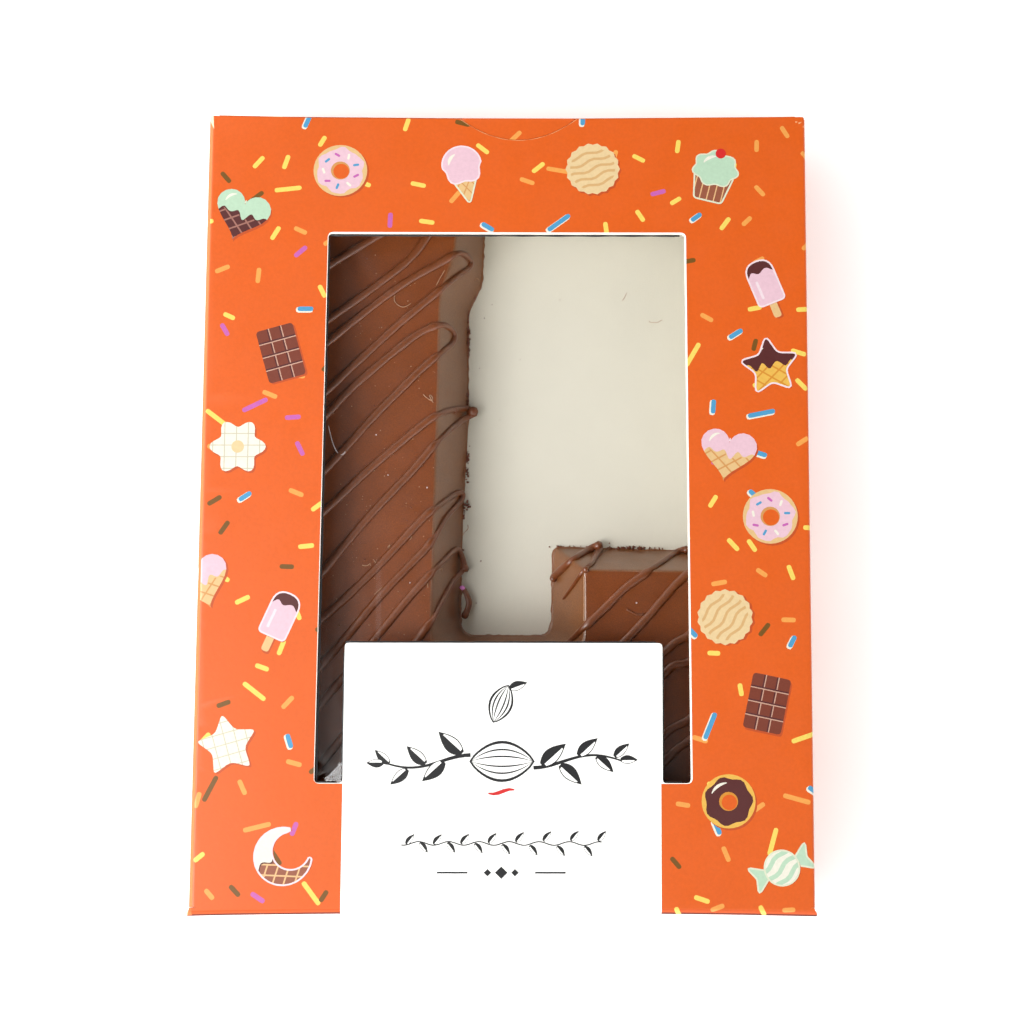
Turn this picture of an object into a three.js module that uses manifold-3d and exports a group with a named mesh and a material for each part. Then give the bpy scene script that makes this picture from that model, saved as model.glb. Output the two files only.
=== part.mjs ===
// A slab-serif chocolate letter L with drizzle, lying in its shut window carton.
// Millimetres. The carton lies on its back: +X across its front, +Y up its front, +Z out of its window.
import * as THREE from 'three';
import { mergeVertices } from 'three/addons/utils/BufferGeometryUtils.js';
import Module from 'manifold-3d';

const wasm = await Module();
wasm.setup();

// Carton
const cartonWidth = 118.5;
const cartonHeight = 156.2;
const cartonDepth = 21;
const board = 0.5;
const foldRadius = 1.1;
const foldSteps = 4;
const flapGap = 0.2;
const tuckLength = 13;
const tuckInset = 1.5;

// Window, the tongue that rises into it, and the thumb notch in the front's top edge
const windowWidth = 70.6;
const windowLeftLean = 0.7;
const windowTop = 54;
const windowBottom = -53;
const tongueWidth = 61;
const tongueTop = -26.5;
const windowCorner = 0.8;
const notchCentre = 2.2;
const notchWidth = 23;
const notchDepth = 4.3;

// Clear film glued behind the front
const filmThickness = 0.15;
const filmMargin = 5;
const filmGap = 0.05;

// Letter: edges of its base outline, then its thickness and the slope of its sides
const letterTop = 66;
const letterBottom = -62;
const letterLeft = -48;
const letterRight = 48;
const stemLeft = -45;
const stemRight = -8.1;
const stemRightLow = -9.2;
const slabRight = -5;
const slabLow = 48.4;
const bracketLow = 42.8;
const footTop = -25.2;
const armLeft = 10;
const armTop = -7;
const innerFillet = 3.5;
const bracketFillet = 2;
const letterThickness = 12;
const letterRim = 0.8;
const sideDraft = 5.3;

// Drizzle: a zigzag down the stem and slanting strands over the foot
const strandRadius = 0.7;
const strandLift = 0.15;
const strandSides = 6;
const legSteps = 10;
const loopX = -11;
const loopFirstY = 65;
const loopPitch = 15.2;
const turnX = -42;
const turnFirstY = 46;
const turnPitch = 17.4;
const turnRadius = 1.7;
const stemPasses = 6;
const footStrandAngle = THREE.MathUtils.degToRad(41);
const footStrandStarts = [[-27, -58], [-12, -58], [2, -58], [16, -58], [30, -58], [12, -15]];
const strandStep = 4;
const edgeMargin = 1.2;

// Solids

function solidOf(geometry) {
  const bare = geometry.clone();
  bare.deleteAttribute('normal');
  bare.deleteAttribute('uv');
  const merged = mergeVertices(bare, 1e-4);
  return new wasm.Manifold(new wasm.Mesh({
    numProp: 3,
    vertProperties: merged.attributes.position.array,
    triVerts: new Uint32Array(merged.index.array),
  }));
}

function geometryOf(solid) {
  const mesh = solid.getMesh();
  const geometry = new THREE.BufferGeometry();
  geometry.setAttribute('position', new THREE.BufferAttribute(mesh.vertProperties, 3));
  geometry.setIndex(new THREE.BufferAttribute(mesh.triVerts, 1));
  const faceted = geometry.toNonIndexed();
  faceted.computeVertexNormals();
  return faceted;
}

function boxBetween(low, high) {
  const size = high.map((value, axis) => value - low[axis]);
  const geometry = new THREE.BoxGeometry(...size);
  geometry.translate(...high.map((value, axis) => (value + low[axis]) / 2));
  return solidOf(geometry);
}

// Corners are [x, y, radius]; a corner with no radius stays sharp.
function outline(corners) {
  const path = new THREE.Shape();
  corners.forEach(([x, y, radius = 0], index) => {
    const corner = new THREE.Vector2(x, y);
    const [beforeX, beforeY] = corners.at(index - 1);
    const [afterX, afterY] = corners[(index + 1) % corners.length];
    const towards = (px, py) => new THREE.Vector2(px - x, py - y).setLength(radius).add(corner);
    const start = towards(beforeX, beforeY);
    const end = towards(afterX, afterY);
    if (index === 0) path.moveTo(start.x, start.y);
    else path.lineTo(start.x, start.y);
    if (radius > 0) path.quadraticCurveTo(x, y, end.x, end.y);
  });
  path.closePath();
  return path;
}

// A flat shape in XY, raised along +Z from one height to another
function plateBetween(shape, low, high, curveSegments = 4) {
  const options = { depth: high - low, bevelEnabled: false, curveSegments };
  const geometry = new THREE.ExtrudeGeometry(shape, options);
  geometry.translate(0, 0, low);
  return solidOf(geometry);
}

// Carton

function roundedRectangle(halfWidth, low, high, radius) {
  return outline([
    [-halfWidth, low, radius],
    [halfWidth, low, radius],
    [halfWidth, high, radius],
    [-halfWidth, high, radius],
  ]);
}

// The four walls round the Y axis, as a bar of the section that they enclose
function wrapBar(inset, length) {
  const radius = foldRadius - inset;
  const section = roundedRectangle(cartonWidth / 2 - inset, inset, cartonDepth - inset, radius);
  const options = { depth: length, bevelEnabled: false, curveSegments: foldSteps };
  const geometry = new THREE.ExtrudeGeometry(section, options);
  geometry.translate(0, 0, -length / 2);
  geometry.rotateX(Math.PI / 2);
  return solidOf(geometry);
}

function windowShape() {
  const half = windowWidth / 2;
  const tongue = tongueWidth / 2;
  return outline([
    [-half, windowTop, windowCorner],
    [-half - windowLeftLean, windowBottom, windowCorner],
    [-tongue, windowBottom, windowCorner],
    [-tongue, tongueTop, windowCorner],
    [tongue, tongueTop, windowCorner],
    [tongue, windowBottom, windowCorner],
    [half, windowBottom, windowCorner],
    [half, windowTop, windowCorner],
  ]);
}

// A shallow arc below the front's top edge
function notchShape() {
  const left = notchCentre - notchWidth / 2;
  const right = notchCentre + notchWidth / 2;
  const top = cartonHeight / 2;
  const notch = new THREE.Shape();
  notch.moveTo(left, top + board);
  notch.lineTo(left, top);
  notch.quadraticCurveTo(notchCentre, top - 2 * notchDepth, right, top);
  notch.lineTo(right, top + board);
  notch.closePath();
  return notch;
}

// The board of the lid: up from the back, over the end and down behind the front, seen along X
function closureSection() {
  const end = cartonHeight / 2;
  const tuckFront = cartonDepth - board - flapGap;
  const tuckBack = tuckFront - board;
  return outline([
    [end - 2 * foldRadius, 0],
    [end, 0, foldRadius],
    [end, tuckFront, foldRadius],
    [end - tuckLength, tuckFront],
    [end - tuckLength, tuckBack],
    [end - board, tuckBack, foldRadius - board],
    [end - board, board, foldRadius - board],
    [end - 2 * foldRadius, board],
  ]);
}

// The lid covers the side walls' ends, and its tuck flap is narrower, to slide in between them.
function makeLid() {
  const lidWidth = cartonWidth - 2 * flapGap;
  const options = { depth: lidWidth, bevelEnabled: false, curveSegments: foldSteps };
  const geometry = new THREE.ExtrudeGeometry(closureSection(), options);
  geometry.translate(0, 0, -lidWidth / 2);
  geometry.rotateY(Math.PI / 2);
  geometry.rotateX(Math.PI / 2);
  const flapHalf = cartonWidth / 2 - board - tuckInset;
  const underLid = cartonHeight / 2 - board;
  const beside = [-1, 1].map((side) => boxBetween(
    [Math.min(side * flapHalf, side * cartonWidth), 0, 2 * board],
    [Math.max(side * flapHalf, side * cartonWidth), underLid, cartonDepth],
  ));
  return solidOf(geometry).subtract(beside[0]).subtract(beside[1]);
}

// What is cut from the walls at the top, to let the lid hang on the back and lie on the side walls
function lidSeat() {
  const backFree = boxBetween(
    [-cartonWidth, cartonHeight / 2 - foldRadius, -board],
    [cartonWidth, cartonHeight, 2 * board],
  );
  const wallsFree = boxBetween(
    [-cartonWidth, cartonHeight / 2 - board - flapGap, -board],
    [cartonWidth, cartonHeight, cartonDepth - board],
  );
  return backFree.add(wallsFree);
}

// The base is a lid at the other end and turned over: it hangs on the front and tucks in over the back.
function atBase(solid) {
  return solid.rotate([180, 0, 0]).translate([0, 0, cartonDepth]);
}

function makeCarton() {
  const frontHeight = cartonHeight - 2 * flapGap;
  const window = plateBetween(windowShape(), cartonDepth - 2 * board, cartonDepth + board);
  const notch = plateBetween(notchShape(), cartonDepth - board - flapGap / 2, cartonDepth + board, 12);
  return wrapBar(0, frontHeight)
    .subtract(wrapBar(board, cartonHeight))
    .subtract(window)
    .subtract(notch)
    .subtract(lidSeat())
    .subtract(atBase(lidSeat()))
    .add(makeLid())
    .add(atBase(makeLid()));
}

function makeFilm() {
  const halfWidth = windowWidth / 2 + filmMargin;
  const front = cartonDepth - board - filmGap;
  return boxBetween(
    [-halfWidth, windowBottom - filmMargin, front - filmThickness],
    [halfWidth, windowTop + filmMargin, front],
  );
}

// Letter

const letterCorners = [
  [letterLeft, letterTop],
  [letterLeft, slabLow],
  [stemLeft, bracketLow, bracketFillet],
  [stemLeft, footTop, bracketFillet],
  [letterLeft, footTop - (slabLow - bracketLow)],
  [letterLeft, letterBottom],
  [letterRight, letterBottom],
  [letterRight, armTop],
  [armLeft, armTop],
  [armLeft, footTop, innerFillet],
  [stemRightLow, footTop, innerFillet],
  [stemRight, bracketLow, bracketFillet],
  [slabRight, slabLow],
  [slabRight, letterTop],
];

// How far a point lies inside the letter's base outline; below zero outside it
function depthInside(x, y) {
  const point = new THREE.Vector3(x, y, 0);
  const nearest = new THREE.Vector3();
  let distance = Infinity;
  let inside = false;
  letterCorners.forEach(([x0, y0], index) => {
    const [x1, y1] = letterCorners[(index + 1) % letterCorners.length];
    const edge = new THREE.Line3(new THREE.Vector3(x0, y0, 0), new THREE.Vector3(x1, y1, 0));
    edge.closestPointToPoint(point, true, nearest);
    distance = Math.min(distance, nearest.distanceTo(point));
    const crosses = (y0 > y) !== (y1 > y) && x < x0 + (x1 - x0) * (y - y0) / (y1 - y0);
    if (crosses) inside = !inside;
  });
  return inside ? distance : -distance;
}

// Height of the letter's surface above the board that it lies on
function surfaceHeight(x, y) {
  const climb = THREE.MathUtils.clamp(depthInside(x, y) / sideDraft, 0, 1);
  return board + letterRim + climb * (letterThickness - letterRim);
}

function onSurface(x, y) {
  return new THREE.Vector3(x, y, surfaceHeight(x, y) + strandLift);
}

// Walked from point to point, so that its steps are short where its points are close
class StrandCurve extends THREE.CatmullRomCurve3 {
  getUtoTmapping(u) {
    return u;
  }
}

function strand(points) {
  const section = new THREE.Shape();
  for (let side = 0; side < strandSides; side += 1) {
    const angle = side / strandSides * 2 * Math.PI;
    const x = strandRadius * Math.cos(angle);
    const y = strandRadius * Math.sin(angle);
    if (side === 0) section.moveTo(x, y);
    else section.lineTo(x, y);
  }
  section.closePath();
  const curve = new StrandCurve(points, false, 'centripetal');
  const options = { steps: points.length - 1, extrudePath: curve, bevelEnabled: false };
  return solidOf(new THREE.ExtrudeGeometry(section, options));
}

// The points between a leg's two ends
function legPoints(from, to) {
  const points = [];
  for (let step = 1; step < legSteps; step += 1) {
    const share = step / legSteps;
    points.push(onSurface(
      THREE.MathUtils.lerp(from[0], to[0], share),
      THREE.MathUtils.lerp(from[1], to[1], share),
    ));
  }
  return points;
}

// A half turn from straight above a centre to straight below it, round the side that way points to
function halfTurn([x, y], way) {
  return [90, 45, 0, -45, -90].map((degrees) => {
    const angle = THREE.MathUtils.degToRad(degrees);
    return onSurface(
      x + way * turnRadius * Math.cos(angle),
      y + turnRadius * Math.sin(angle),
    );
  });
}

function stemZigzag() {
  const points = [];
  for (let pass = 0; pass < stemPasses; pass += 1) {
    const turn = [turnX, turnFirstY - pass * turnPitch];
    const loop = [loopX, loopFirstY - pass * loopPitch];
    const nextTurn = [turnX, turnFirstY - (pass + 1) * turnPitch];
    const loopAbove = [loop[0], loop[1] + turnRadius];
    const loopBelow = [loop[0], loop[1] - turnRadius];
    points.push(...halfTurn(turn, -1));
    points.push(...legPoints([turn[0], turn[1] - turnRadius], loopAbove));
    points.push(...halfTurn(loop, 1));
    points.push(...legPoints(loopBelow, [nextTurn[0], nextTurn[1] + turnRadius]));
  }
  return strand(points);
}

// A straight strand that climbs to the right until it nears the letter's edge
function footStrand([startX, startY]) {
  const points = [];
  let x = startX;
  let y = startY;
  while (depthInside(x, y) > edgeMargin) {
    points.push(onSurface(x, y));
    x += strandStep * Math.cos(footStrandAngle);
    y += strandStep * Math.sin(footStrandAngle);
  }
  return strand(points);
}

function letterBody() {
  const options = {
    depth: letterRim,
    bevelEnabled: true,
    bevelThickness: letterThickness - letterRim,
    bevelSize: sideDraft,
    bevelOffset: -sideDraft,
    bevelSegments: 1,
    curveSegments: 5,
  };
  const geometry = new THREE.ExtrudeGeometry(outline(letterCorners), options);
  geometry.translate(0, 0, board);
  return solidOf(geometry);
}

function makeLetter() {
  const below = boxBetween(
    [2 * letterLeft, 2 * letterBottom, -2 * letterThickness],
    [2 * letterRight, 2 * letterTop, board],
  );
  const overLetter = plateBetween(outline(letterCorners), board, 2 * letterThickness);
  const strands = [stemZigzag(), ...footStrandStarts.map(footStrand)];
  const body = letterBody().subtract(below);
  return strands.reduce((sum, next) => sum.add(next.intersect(overLetter)), body);
}

// Scene graph

const materials = {
  board: new THREE.MeshStandardMaterial({ color: 0xf07030, roughness: 0.45, metalness: 0 }),
  film: new THREE.MeshStandardMaterial({
    color: 0xffffff, roughness: 0.08, metalness: 0, transparent: true, opacity: 0.15,
  }),
  chocolate: new THREE.MeshStandardMaterial({ color: 0x7a4630, roughness: 0.4, metalness: 0 }),
};

function namedMesh(name, solid, material) {
  const mesh = new THREE.Mesh(geometryOf(solid), material);
  mesh.name = name;
  return mesh;
}

const pack = new THREE.Group();
pack.add(
  namedMesh('carton', makeCarton(), materials.board),
  namedMesh('window_film', makeFilm(), materials.film),
  namedMesh('chocolate_letter', makeLetter(), materials.chocolate),
);

export default pack;
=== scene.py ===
import math
import random

import bpy
from mathutils import Matrix, Vector, noise
from mathutils.bvhtree import BVHTree
from mathutils.geometry import delaunay_2d_cdt


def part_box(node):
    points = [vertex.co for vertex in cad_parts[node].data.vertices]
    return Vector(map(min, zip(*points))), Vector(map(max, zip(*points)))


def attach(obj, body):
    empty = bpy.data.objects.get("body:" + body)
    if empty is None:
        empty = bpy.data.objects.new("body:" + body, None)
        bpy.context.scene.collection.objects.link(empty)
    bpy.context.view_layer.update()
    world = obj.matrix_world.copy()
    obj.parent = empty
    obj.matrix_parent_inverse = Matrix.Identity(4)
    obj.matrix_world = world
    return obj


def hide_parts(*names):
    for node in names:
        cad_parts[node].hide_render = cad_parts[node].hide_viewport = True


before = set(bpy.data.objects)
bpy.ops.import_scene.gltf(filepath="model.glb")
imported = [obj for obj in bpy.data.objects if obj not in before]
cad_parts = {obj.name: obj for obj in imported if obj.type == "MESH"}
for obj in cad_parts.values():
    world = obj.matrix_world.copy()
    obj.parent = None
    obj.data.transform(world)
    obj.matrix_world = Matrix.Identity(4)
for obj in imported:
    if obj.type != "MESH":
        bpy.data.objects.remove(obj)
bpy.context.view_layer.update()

MM = 0.001
# Edges that turn by more than this show as sharp
BOARD_ARRIS = math.radians(40)
FILM_ARRIS = math.radians(60)
LETTER_ARRIS = math.radians(22)

# Carton, from the frame
carton_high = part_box("carton")[1] / MM
HALF_WIDTH = carton_high.x
HALF_HEIGHT = carton_high.y
DEPTH = carton_high.z
BOARD = 0.5
FLAP_GAP = 0.2
TUCK_LENGTH = 13
TUCK_INSET = 1.5
TUCK_CORNER = 3

# A fold is a strip pressed flat between two bends: its size each way and the bends' radius.
# The bends meet where the two are equal.
LEFT_FOLD = (1.1, 0.52)
RIGHT_FOLD = (0.52, 0.52)
FOLDS = {-1: LEFT_FOLD, 1: RIGHT_FOLD}
BASE_FOLD = (1.4, 1.2)
LID_FOLD = (0.55, 0.52)
LID_SQUARENESS = 0.3
BEND_STEPS = 3

# Slits free the front's lower corners from the walls, and the corners bulge out past them as ears
SLIT_RISE = 1.75
SLIT_WIDTH = 0.05
# How far a slit runs in from the fold's first crease
SLIT_RUN = 0.25
EARS = {-1: 0.35, 1: 0.42}
# The wall's flat edge is this much further round than the ear's
EAR_GAP = 0.05
# An ear's edge: distance below the slit and the share of its bulge
EAR_EDGE = [(0, 0), (0.5, 0.3), (0.9, 0.7), (1.3, 0.95), (1.7, 1.0), (2.2, 0.8), (3.5, 0)]

# Window, the tongue that rises into it, and the thumb notch. The lid swells into the notch, within a
# step along its edge
WINDOW_HALF = 35.15
WINDOW_LEAN = 0.75
WINDOW_TOP = 54
WINDOW_BOTTOM = -53.1
WINDOW_CORNER = 0.8
TONGUE_HALF = 30.5
TONGUE_TOP = -26.5
NOTCH_CENTRE = 2.2
NOTCH_HALF = 11.6
NOTCH_DEPTH = 4.4
NOTCH_GAP = 0.05
NOTCH_SWELL = 0.5
NOTCH_STEP = 0.12
# Width of the white border beside the window's edge, and its corners' radius
WINDOW_BORDER = {"left": 0.08, "right": 0.3, "top": 0.28, "bottom": 0.1}
BORDER_CORNER = 1.1

# How far the front's top corners are worn round, and how far in from each edge the middle of one lies, as
# a share of that
CORNER_ROUND = 0.45
CORNER_MIDDLE = 0.3
# Painted shade on the base fold: a darker band where the bend turns away from the light, and a dark painted
# shadow line along it. Ink, and the shares of its way round where it starts and stops
FOLD_SHADE_BANDS = [("fold", 0.12, 1.0), ("fold_shadow_line", 0.5, 0.8)]
# The gap between the two edges that meet along the back, and the slack for a place right on a border
SEAM_GAP = 0.15
TOLERANCE = 0.01
# Spacing of the points inside the boards' meshes: wrap, end panels and tuck flaps, and notch
WRAP_SPACING = 5
END_SPACING = 4
NOTCH_SPACING = 0.35
# How far the notch's points go past it, and its edge's steps
NOTCH_MARGIN = 0.5
NOTCH_STEPS = 24

# How far the board is from true
RACK_ALONG = 0.003
RACK_ACROSS = 0.0022
TOP_DIP = 0.55
BOTTOM_DIP = 0.5
DIP_REACH = 25
FRONT_SAG = 0.25
FRONT_WAVE = 0.12
WAVE_LENGTH = 38
WALL_BOW = 0.12

# Letter: base outline and face outline, corner for corner, then its thickness
BASE_CORNERS = [
    (-48, 66), (-48, 48), (-45, 42.6), (-45, -25.2), (-48, -30.2), (-48, -62), (48, -62), (48, -7.6),
    (10.2, -6.7), (10, -25), (-9.2, -25), (-9.1, -1.5), (-8, 18), (-8.1, 42.8), (-5.3, 48.8), (-4.5, 66),
]
FACE_CORNERS = [
    (-42.7, 60.7), (-42.7, 57), (-39.5, 47), (-39.5, -29.8), (-42.7, -40.2), (-42.7, -56.7),
    (42.7, -56.7), (42.7, -12.2), (16, -11.9), (16, -30.5), (-14.7, -30.5), (-14.2, -1.5), (-13.7, 18),
    (-13.4, 43.6), (-10.5, 52.6), (-9.9, 60.7),
]
BASE_RADII = [1.2, 1.5, 2, 2, 1.5, 1.2, 1.2, 1.2, 1.7, 3.3, 3.3, 8, 8, 2, 1.8, 1.2]
FACE_RADII = [0.5, 1, 3, 3, 1, 0.5, 0.5, 0.5, 0.5, 7, 7, 8, 8, 3, 1.5, 0.5]
THICKNESS = 12
LETTER_BASE = BOARD

# Colours of the inks themselves, as red, green and blue out of 255. They look brighter in full light
INKS = {
    "orange": (199, 83, 12),
    "orange_shade": (172, 69, 23),
    "scuffed": (215, 148, 100),
    # painted highlight: the left fold's strip, paler where the light catches it
    "worn": (205, 107, 51),
    # painted shade: the base fold's darker band and its painted shadow line
    "fold": (188, 74, 12),
    "fold_shadow_line": (96, 30, 8),
    "white": (247, 247, 244),
    "core": (201, 195, 187),
    "bare": (207, 190, 160),
    "mint": (165, 192, 167),
    "mint_rim": (197, 201, 177),
    "pink": (206, 172, 184),
    "pink_rim": (213, 195, 201),
    "tan": (202, 168, 117),
    "tan_line": (187, 134, 76),
    "gold": (207, 163, 71),
    "gold_line": (190, 126, 40),
    "cream": (205, 180, 136),
    "cream_line": (190, 153, 102),
    "brown": (134, 76, 54),
    "brown_line": (207, 165, 117),
    "dark": (76, 30, 29),
    "dark_line": (144, 98, 86),
    "milk": (107, 47, 30),
    "milk_line": (180, 141, 122),
    "bone": (211, 208, 194),
    "bone_line": (180, 173, 151),
    "yellow": (215, 190, 88),
    "apricot": (213, 144, 68),
    "olive": (102, 68, 12),
    "violet": (175, 86, 156),
    "blue": (69, 138, 178),
    "black": (20, 20, 23),
    "red": (190, 32, 32),
}


# Share of the varnish that is left on an ink; the others have all of it
VARNISH = {"fold": 0.3, "fold_shadow_line": 0.2, "worn": 0.4, "scuffed": 0.2, "bare": 0.0}


def linear(colour, alpha=1.0):
    """Scene-linear red, green, blue and alpha of an sRGB colour given out of 255"""
    channels = [value / 255 for value in colour]
    return [c / 12.92 if c < 0.04045 else ((c + 0.055) / 1.055) ** 2.4 for c in channels] + [alpha]


def smooth(share):
    """0 to 1 along an S-shaped curve"""
    share = min(max(share, 0), 1)
    return share * share * (3 - 2 * share)


def mix(start, end, share):
    return start + (end - start) * share


# Outlines in the plane

def soft_corners(corners, radii, steps=4):
    """A closed outline with every corner rounded over the length in radii, or over one length for all"""
    if not isinstance(radii, (list, tuple)):
        radii = [radii] * len(corners)
    points = []
    for index, radius in enumerate(radii):
        corner = Vector(corners[index])
        before = Vector(corners[index - 1]) - corner
        after = Vector(corners[(index + 1) % len(corners)]) - corner
        start = corner + before.normalized() * radius
        end = corner + after.normalized() * radius
        for step in range(steps + 1):
            share = step / steps
            points.append(start.lerp(corner, share).lerp(corner.lerp(end, share), share))
    return points


def box_outline(left, bottom, right, top, radius=0.4, steps=4):
    return soft_corners([(left, bottom), (right, bottom), (right, top), (left, top)], radius, steps)


def polar_outline(radius_at, steps=36):
    """A closed outline whose radius follows its angle"""
    angles = [2 * math.pi * step / steps for step in range(steps)]
    return [Vector((math.cos(a), math.sin(a))) * radius_at(a) for a in angles]


def disc(radius, steps=36):
    return polar_outline(lambda angle: radius, steps)


def ribbon(points, width_at):
    """A stroke along a line of points, whose width follows the share of its length"""
    left = []
    right = []
    for index, point in enumerate(points):
        ahead = points[min(index + 1, len(points) - 1)] - points[max(index - 1, 0)]
        across = Vector((-ahead.y, ahead.x)).normalized()
        half = width_at(index / (len(points) - 1)) / 2
        left.append(point + across * half)
        right.append(point - across * half)
    return right + left[::-1]


def placed(points, x, y, turn=0.0, scale=1.0):
    """Points at their own place, turned by degrees"""
    turned = Matrix.Rotation(math.radians(turn), 2)
    return [Vector((x, y)) + turned @ (Vector(point) * scale) for point in points]


def grown(points, by):
    """An outline moved outwards along its own normals"""
    moved = []
    for index, point in enumerate(points):
        along = points[(index + 1) % len(points)] - points[index - 1]
        moved.append(point + Vector((along.y, -along.x)).normalized() * by)
    return moved


def signed_area(points):
    pairs = zip(points, points[1:] + points[:1])
    return sum(a[0] * b[1] - b[0] * a[1] for a, b in pairs) / 2


# Printing: shapes of ink on a flat sheet

class Printing:
    """A later shape covers an earlier one, and may show only within others."""

    def __init__(self):
        self.shapes = []

    def add(self, points, ink, within=()):
        self.shapes.append((points, ink, within))
        return len(self.shapes) - 1

    def ink_on(self, hit):
        """The ink on a spot that lies inside the shapes whose numbers are in hit"""
        for number in sorted(hit, reverse=True):
            ink = self.shapes[number][1]
            if all(other in hit for other in self.shapes[number][2]):
                return ink
        return "orange"


class Pen:
    """Draws on a sheet about a place of its own, at a turn in degrees and a scale"""

    def __init__(self, sheet, x, y, turn=0.0, scale=1.0):
        self.sheet = sheet
        self.place = (x, y, turn, scale)

    def add(self, points, ink, within=()):
        return self.sheet.add(placed(points, *self.place), ink, within)


# Kinds of sprinkle, by ink and share
SPRINKLE_KINDS = [
    ("yellow", 0.36), ("apricot", 0.26), ("olive", 0.16), ("blue", 0.13), ("violet", 0.09),
]
SPRINKLE_WIDTH = 0.92
SPRINKLE_LENGTHS = (2.5, 2.8, 2.8, 3.1, 3.1, 5.4)
SPRINKLE_SPACING = 7.6
SPRINKLE_SHARE = 0.8
# How far a sprinkle strays from its cell's middle, in cells, and the white rim behind a blue one
SPRINKLE_STRAY = 0.42
RIM_LENGTH = 0.25
RIM_WIDTH = 0.22
RIM_SHIFT = 0.2


def sprinkle_outline(length, width):
    half = length / 2
    return box_outline(-half, -width / 2, half, width / 2, width * 0.48, 2)


def scatter_sprinkles(sheet, left, bottom, right, top, dice):
    """Sugar sprinkles lie at all angles, one in most cells of a grid, each off its cell's middle"""
    kinds = [kind for kind, _ in SPRINKLE_KINDS]
    weights = [weight for _, weight in SPRINKLE_KINDS]
    columns = math.ceil((right - left) / SPRINKLE_SPACING)
    rows = math.ceil((top - bottom) / SPRINKLE_SPACING)
    for row in range(rows):
        for column in range(columns):
            shown = dice.random() < SPRINKLE_SHARE
            x = left + (column + 0.5 + dice.uniform(-SPRINKLE_STRAY, SPRINKLE_STRAY)) * SPRINKLE_SPACING
            y = bottom + (row + 0.5 + dice.uniform(-SPRINKLE_STRAY, SPRINKLE_STRAY)) * SPRINKLE_SPACING
            kind = dice.choices(kinds, weights)[0]
            length = dice.choice(SPRINKLE_LENGTHS)
            turn = dice.uniform(0, 180)
            if not shown:
                continue
            if kind == "blue":
                rim = sprinkle_outline(length + RIM_LENGTH, SPRINKLE_WIDTH + RIM_WIDTH)
                sheet.add(placed(rim, x - RIM_SHIFT, y - RIM_SHIFT, turn), "bone")
            sheet.add(placed(sprinkle_outline(length, SPRINKLE_WIDTH), x, y, turn), kind)


# Sweets of the print, each about 11 mm high and drawn about its own centre

SWEET_SHADOW = (0.35, -0.4)
SWEET_RIM = 0.35
# A doughnut's hole is drawn a little off the rim round it
HOLE_SHIFT = (0.15, -0.2)


def lay_body(pen, shape, ink, rim=None):
    """A sweet's body over its own shadow and, where it has one, its pale rim"""
    pen.add(placed(shape, *SWEET_SHADOW), "orange_shade")
    if rim:
        pen.add(grown(shape, SWEET_RIM), rim)
    return pen.add(shape, ink)


def draw_lattice(pen, body, ink, spacing=2.1, width=0.32, leans=(38, -38), reach=8):
    count = math.ceil(reach / spacing)
    for lean in leans:
        for index in range(-count, count + 1):
            offset = index * spacing + 0.3
            low, high = offset - width / 2, offset + width / 2
            line = [(-reach, low), (reach, low), (reach, high), (-reach, high)]
            pen.add(placed(line, 0, 0, lean), ink, (body,))


def draw_waves(pen, body, ink, spacing=1.7, width=0.55, reach=8):
    for index in range(-4, 5):
        heights = [index * spacing + 0.35 * math.sin(x * 1.1 + index) for x in range(-reach, reach)]
        middle = [Vector(spot) for spot in zip(range(-reach, reach), heights)]
        pen.add(placed(ribbon(middle, lambda share: width), 0, 0, 20), ink, (body,))


def icing_outline(level, drip, phase, reach=8, steps=40):
    """All that lies above a dripping edge"""
    edge = []
    for step in range(steps + 1):
        x = mix(-reach, reach, step / steps)
        fall = 0.5 + 0.5 * math.sin(2.1 * x + phase)
        fall *= 0.7 + 0.3 * math.sin(0.9 * x + 2 * phase)
        edge.append(Vector((x, level - drip * fall)))
    return edge + [Vector((reach, reach + 2)), Vector((-reach, reach + 2))]


def draw_icing(pen, body, ink, level=0.6, drip=1.7, phase=0.5, under=None):
    """Icing runs down over a body, with a darker line under its edge"""
    edge = icing_outline(level, drip, phase)
    if under:
        pen.add(placed(edge, 0, -0.3), under, (body,))
    return pen.add(edge, ink, (body,))


def draw_gleam(pen, body, x, y, radius=2.2, start=100, sweep=75, width=0.55):
    """A curved highlight that tapers at both ends"""
    arc = []
    for step in range(9):
        angle = math.radians(start + sweep * step / 8)
        arc.append(Vector((x + radius * math.cos(angle), y + radius * math.sin(angle))))
    stroke = ribbon(arc, lambda share: width * (0.25 + 0.75 * math.sin(math.pi * share)))
    pen.add(stroke, "bone", (body,))


HEART_SCALE = 0.36


def heart_outline():
    points = []
    for step in range(36):
        t = 2 * math.pi * step / 36
        x = 16 * math.sin(t) ** 3
        y = 13 * math.cos(t) - 5 * math.cos(2 * t) - 2 * math.cos(3 * t) - math.cos(4 * t)
        points.append(Vector((-x, y + 2)) * HEART_SCALE)
    return points


def star_outline(outer=6.2, inner=3.1):
    corners = []
    for step in range(10):
        angle = math.radians(90 + 36 * step)
        corners.append(Vector((math.cos(angle), math.sin(angle))) * (inner if step % 2 else outer))
    return soft_corners(corners, 1.0, 3)


def crescent_outline():
    """A big circle's arc, and a smaller one's back inside it"""
    outer_angles = [math.radians(angle) for angle in range(40, 321, 14)]
    inner_angles = [math.radians(angle) for angle in range(305, 66, -14)]
    outer = [Vector((math.cos(a), math.sin(a))) * 5.6 for a in outer_angles]
    inner = [Vector((1.9 + 4.0 * math.cos(a), 4.0 * math.sin(a))) for a in inner_angles]
    return soft_corners(outer + inner, 0.2, 1)


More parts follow.
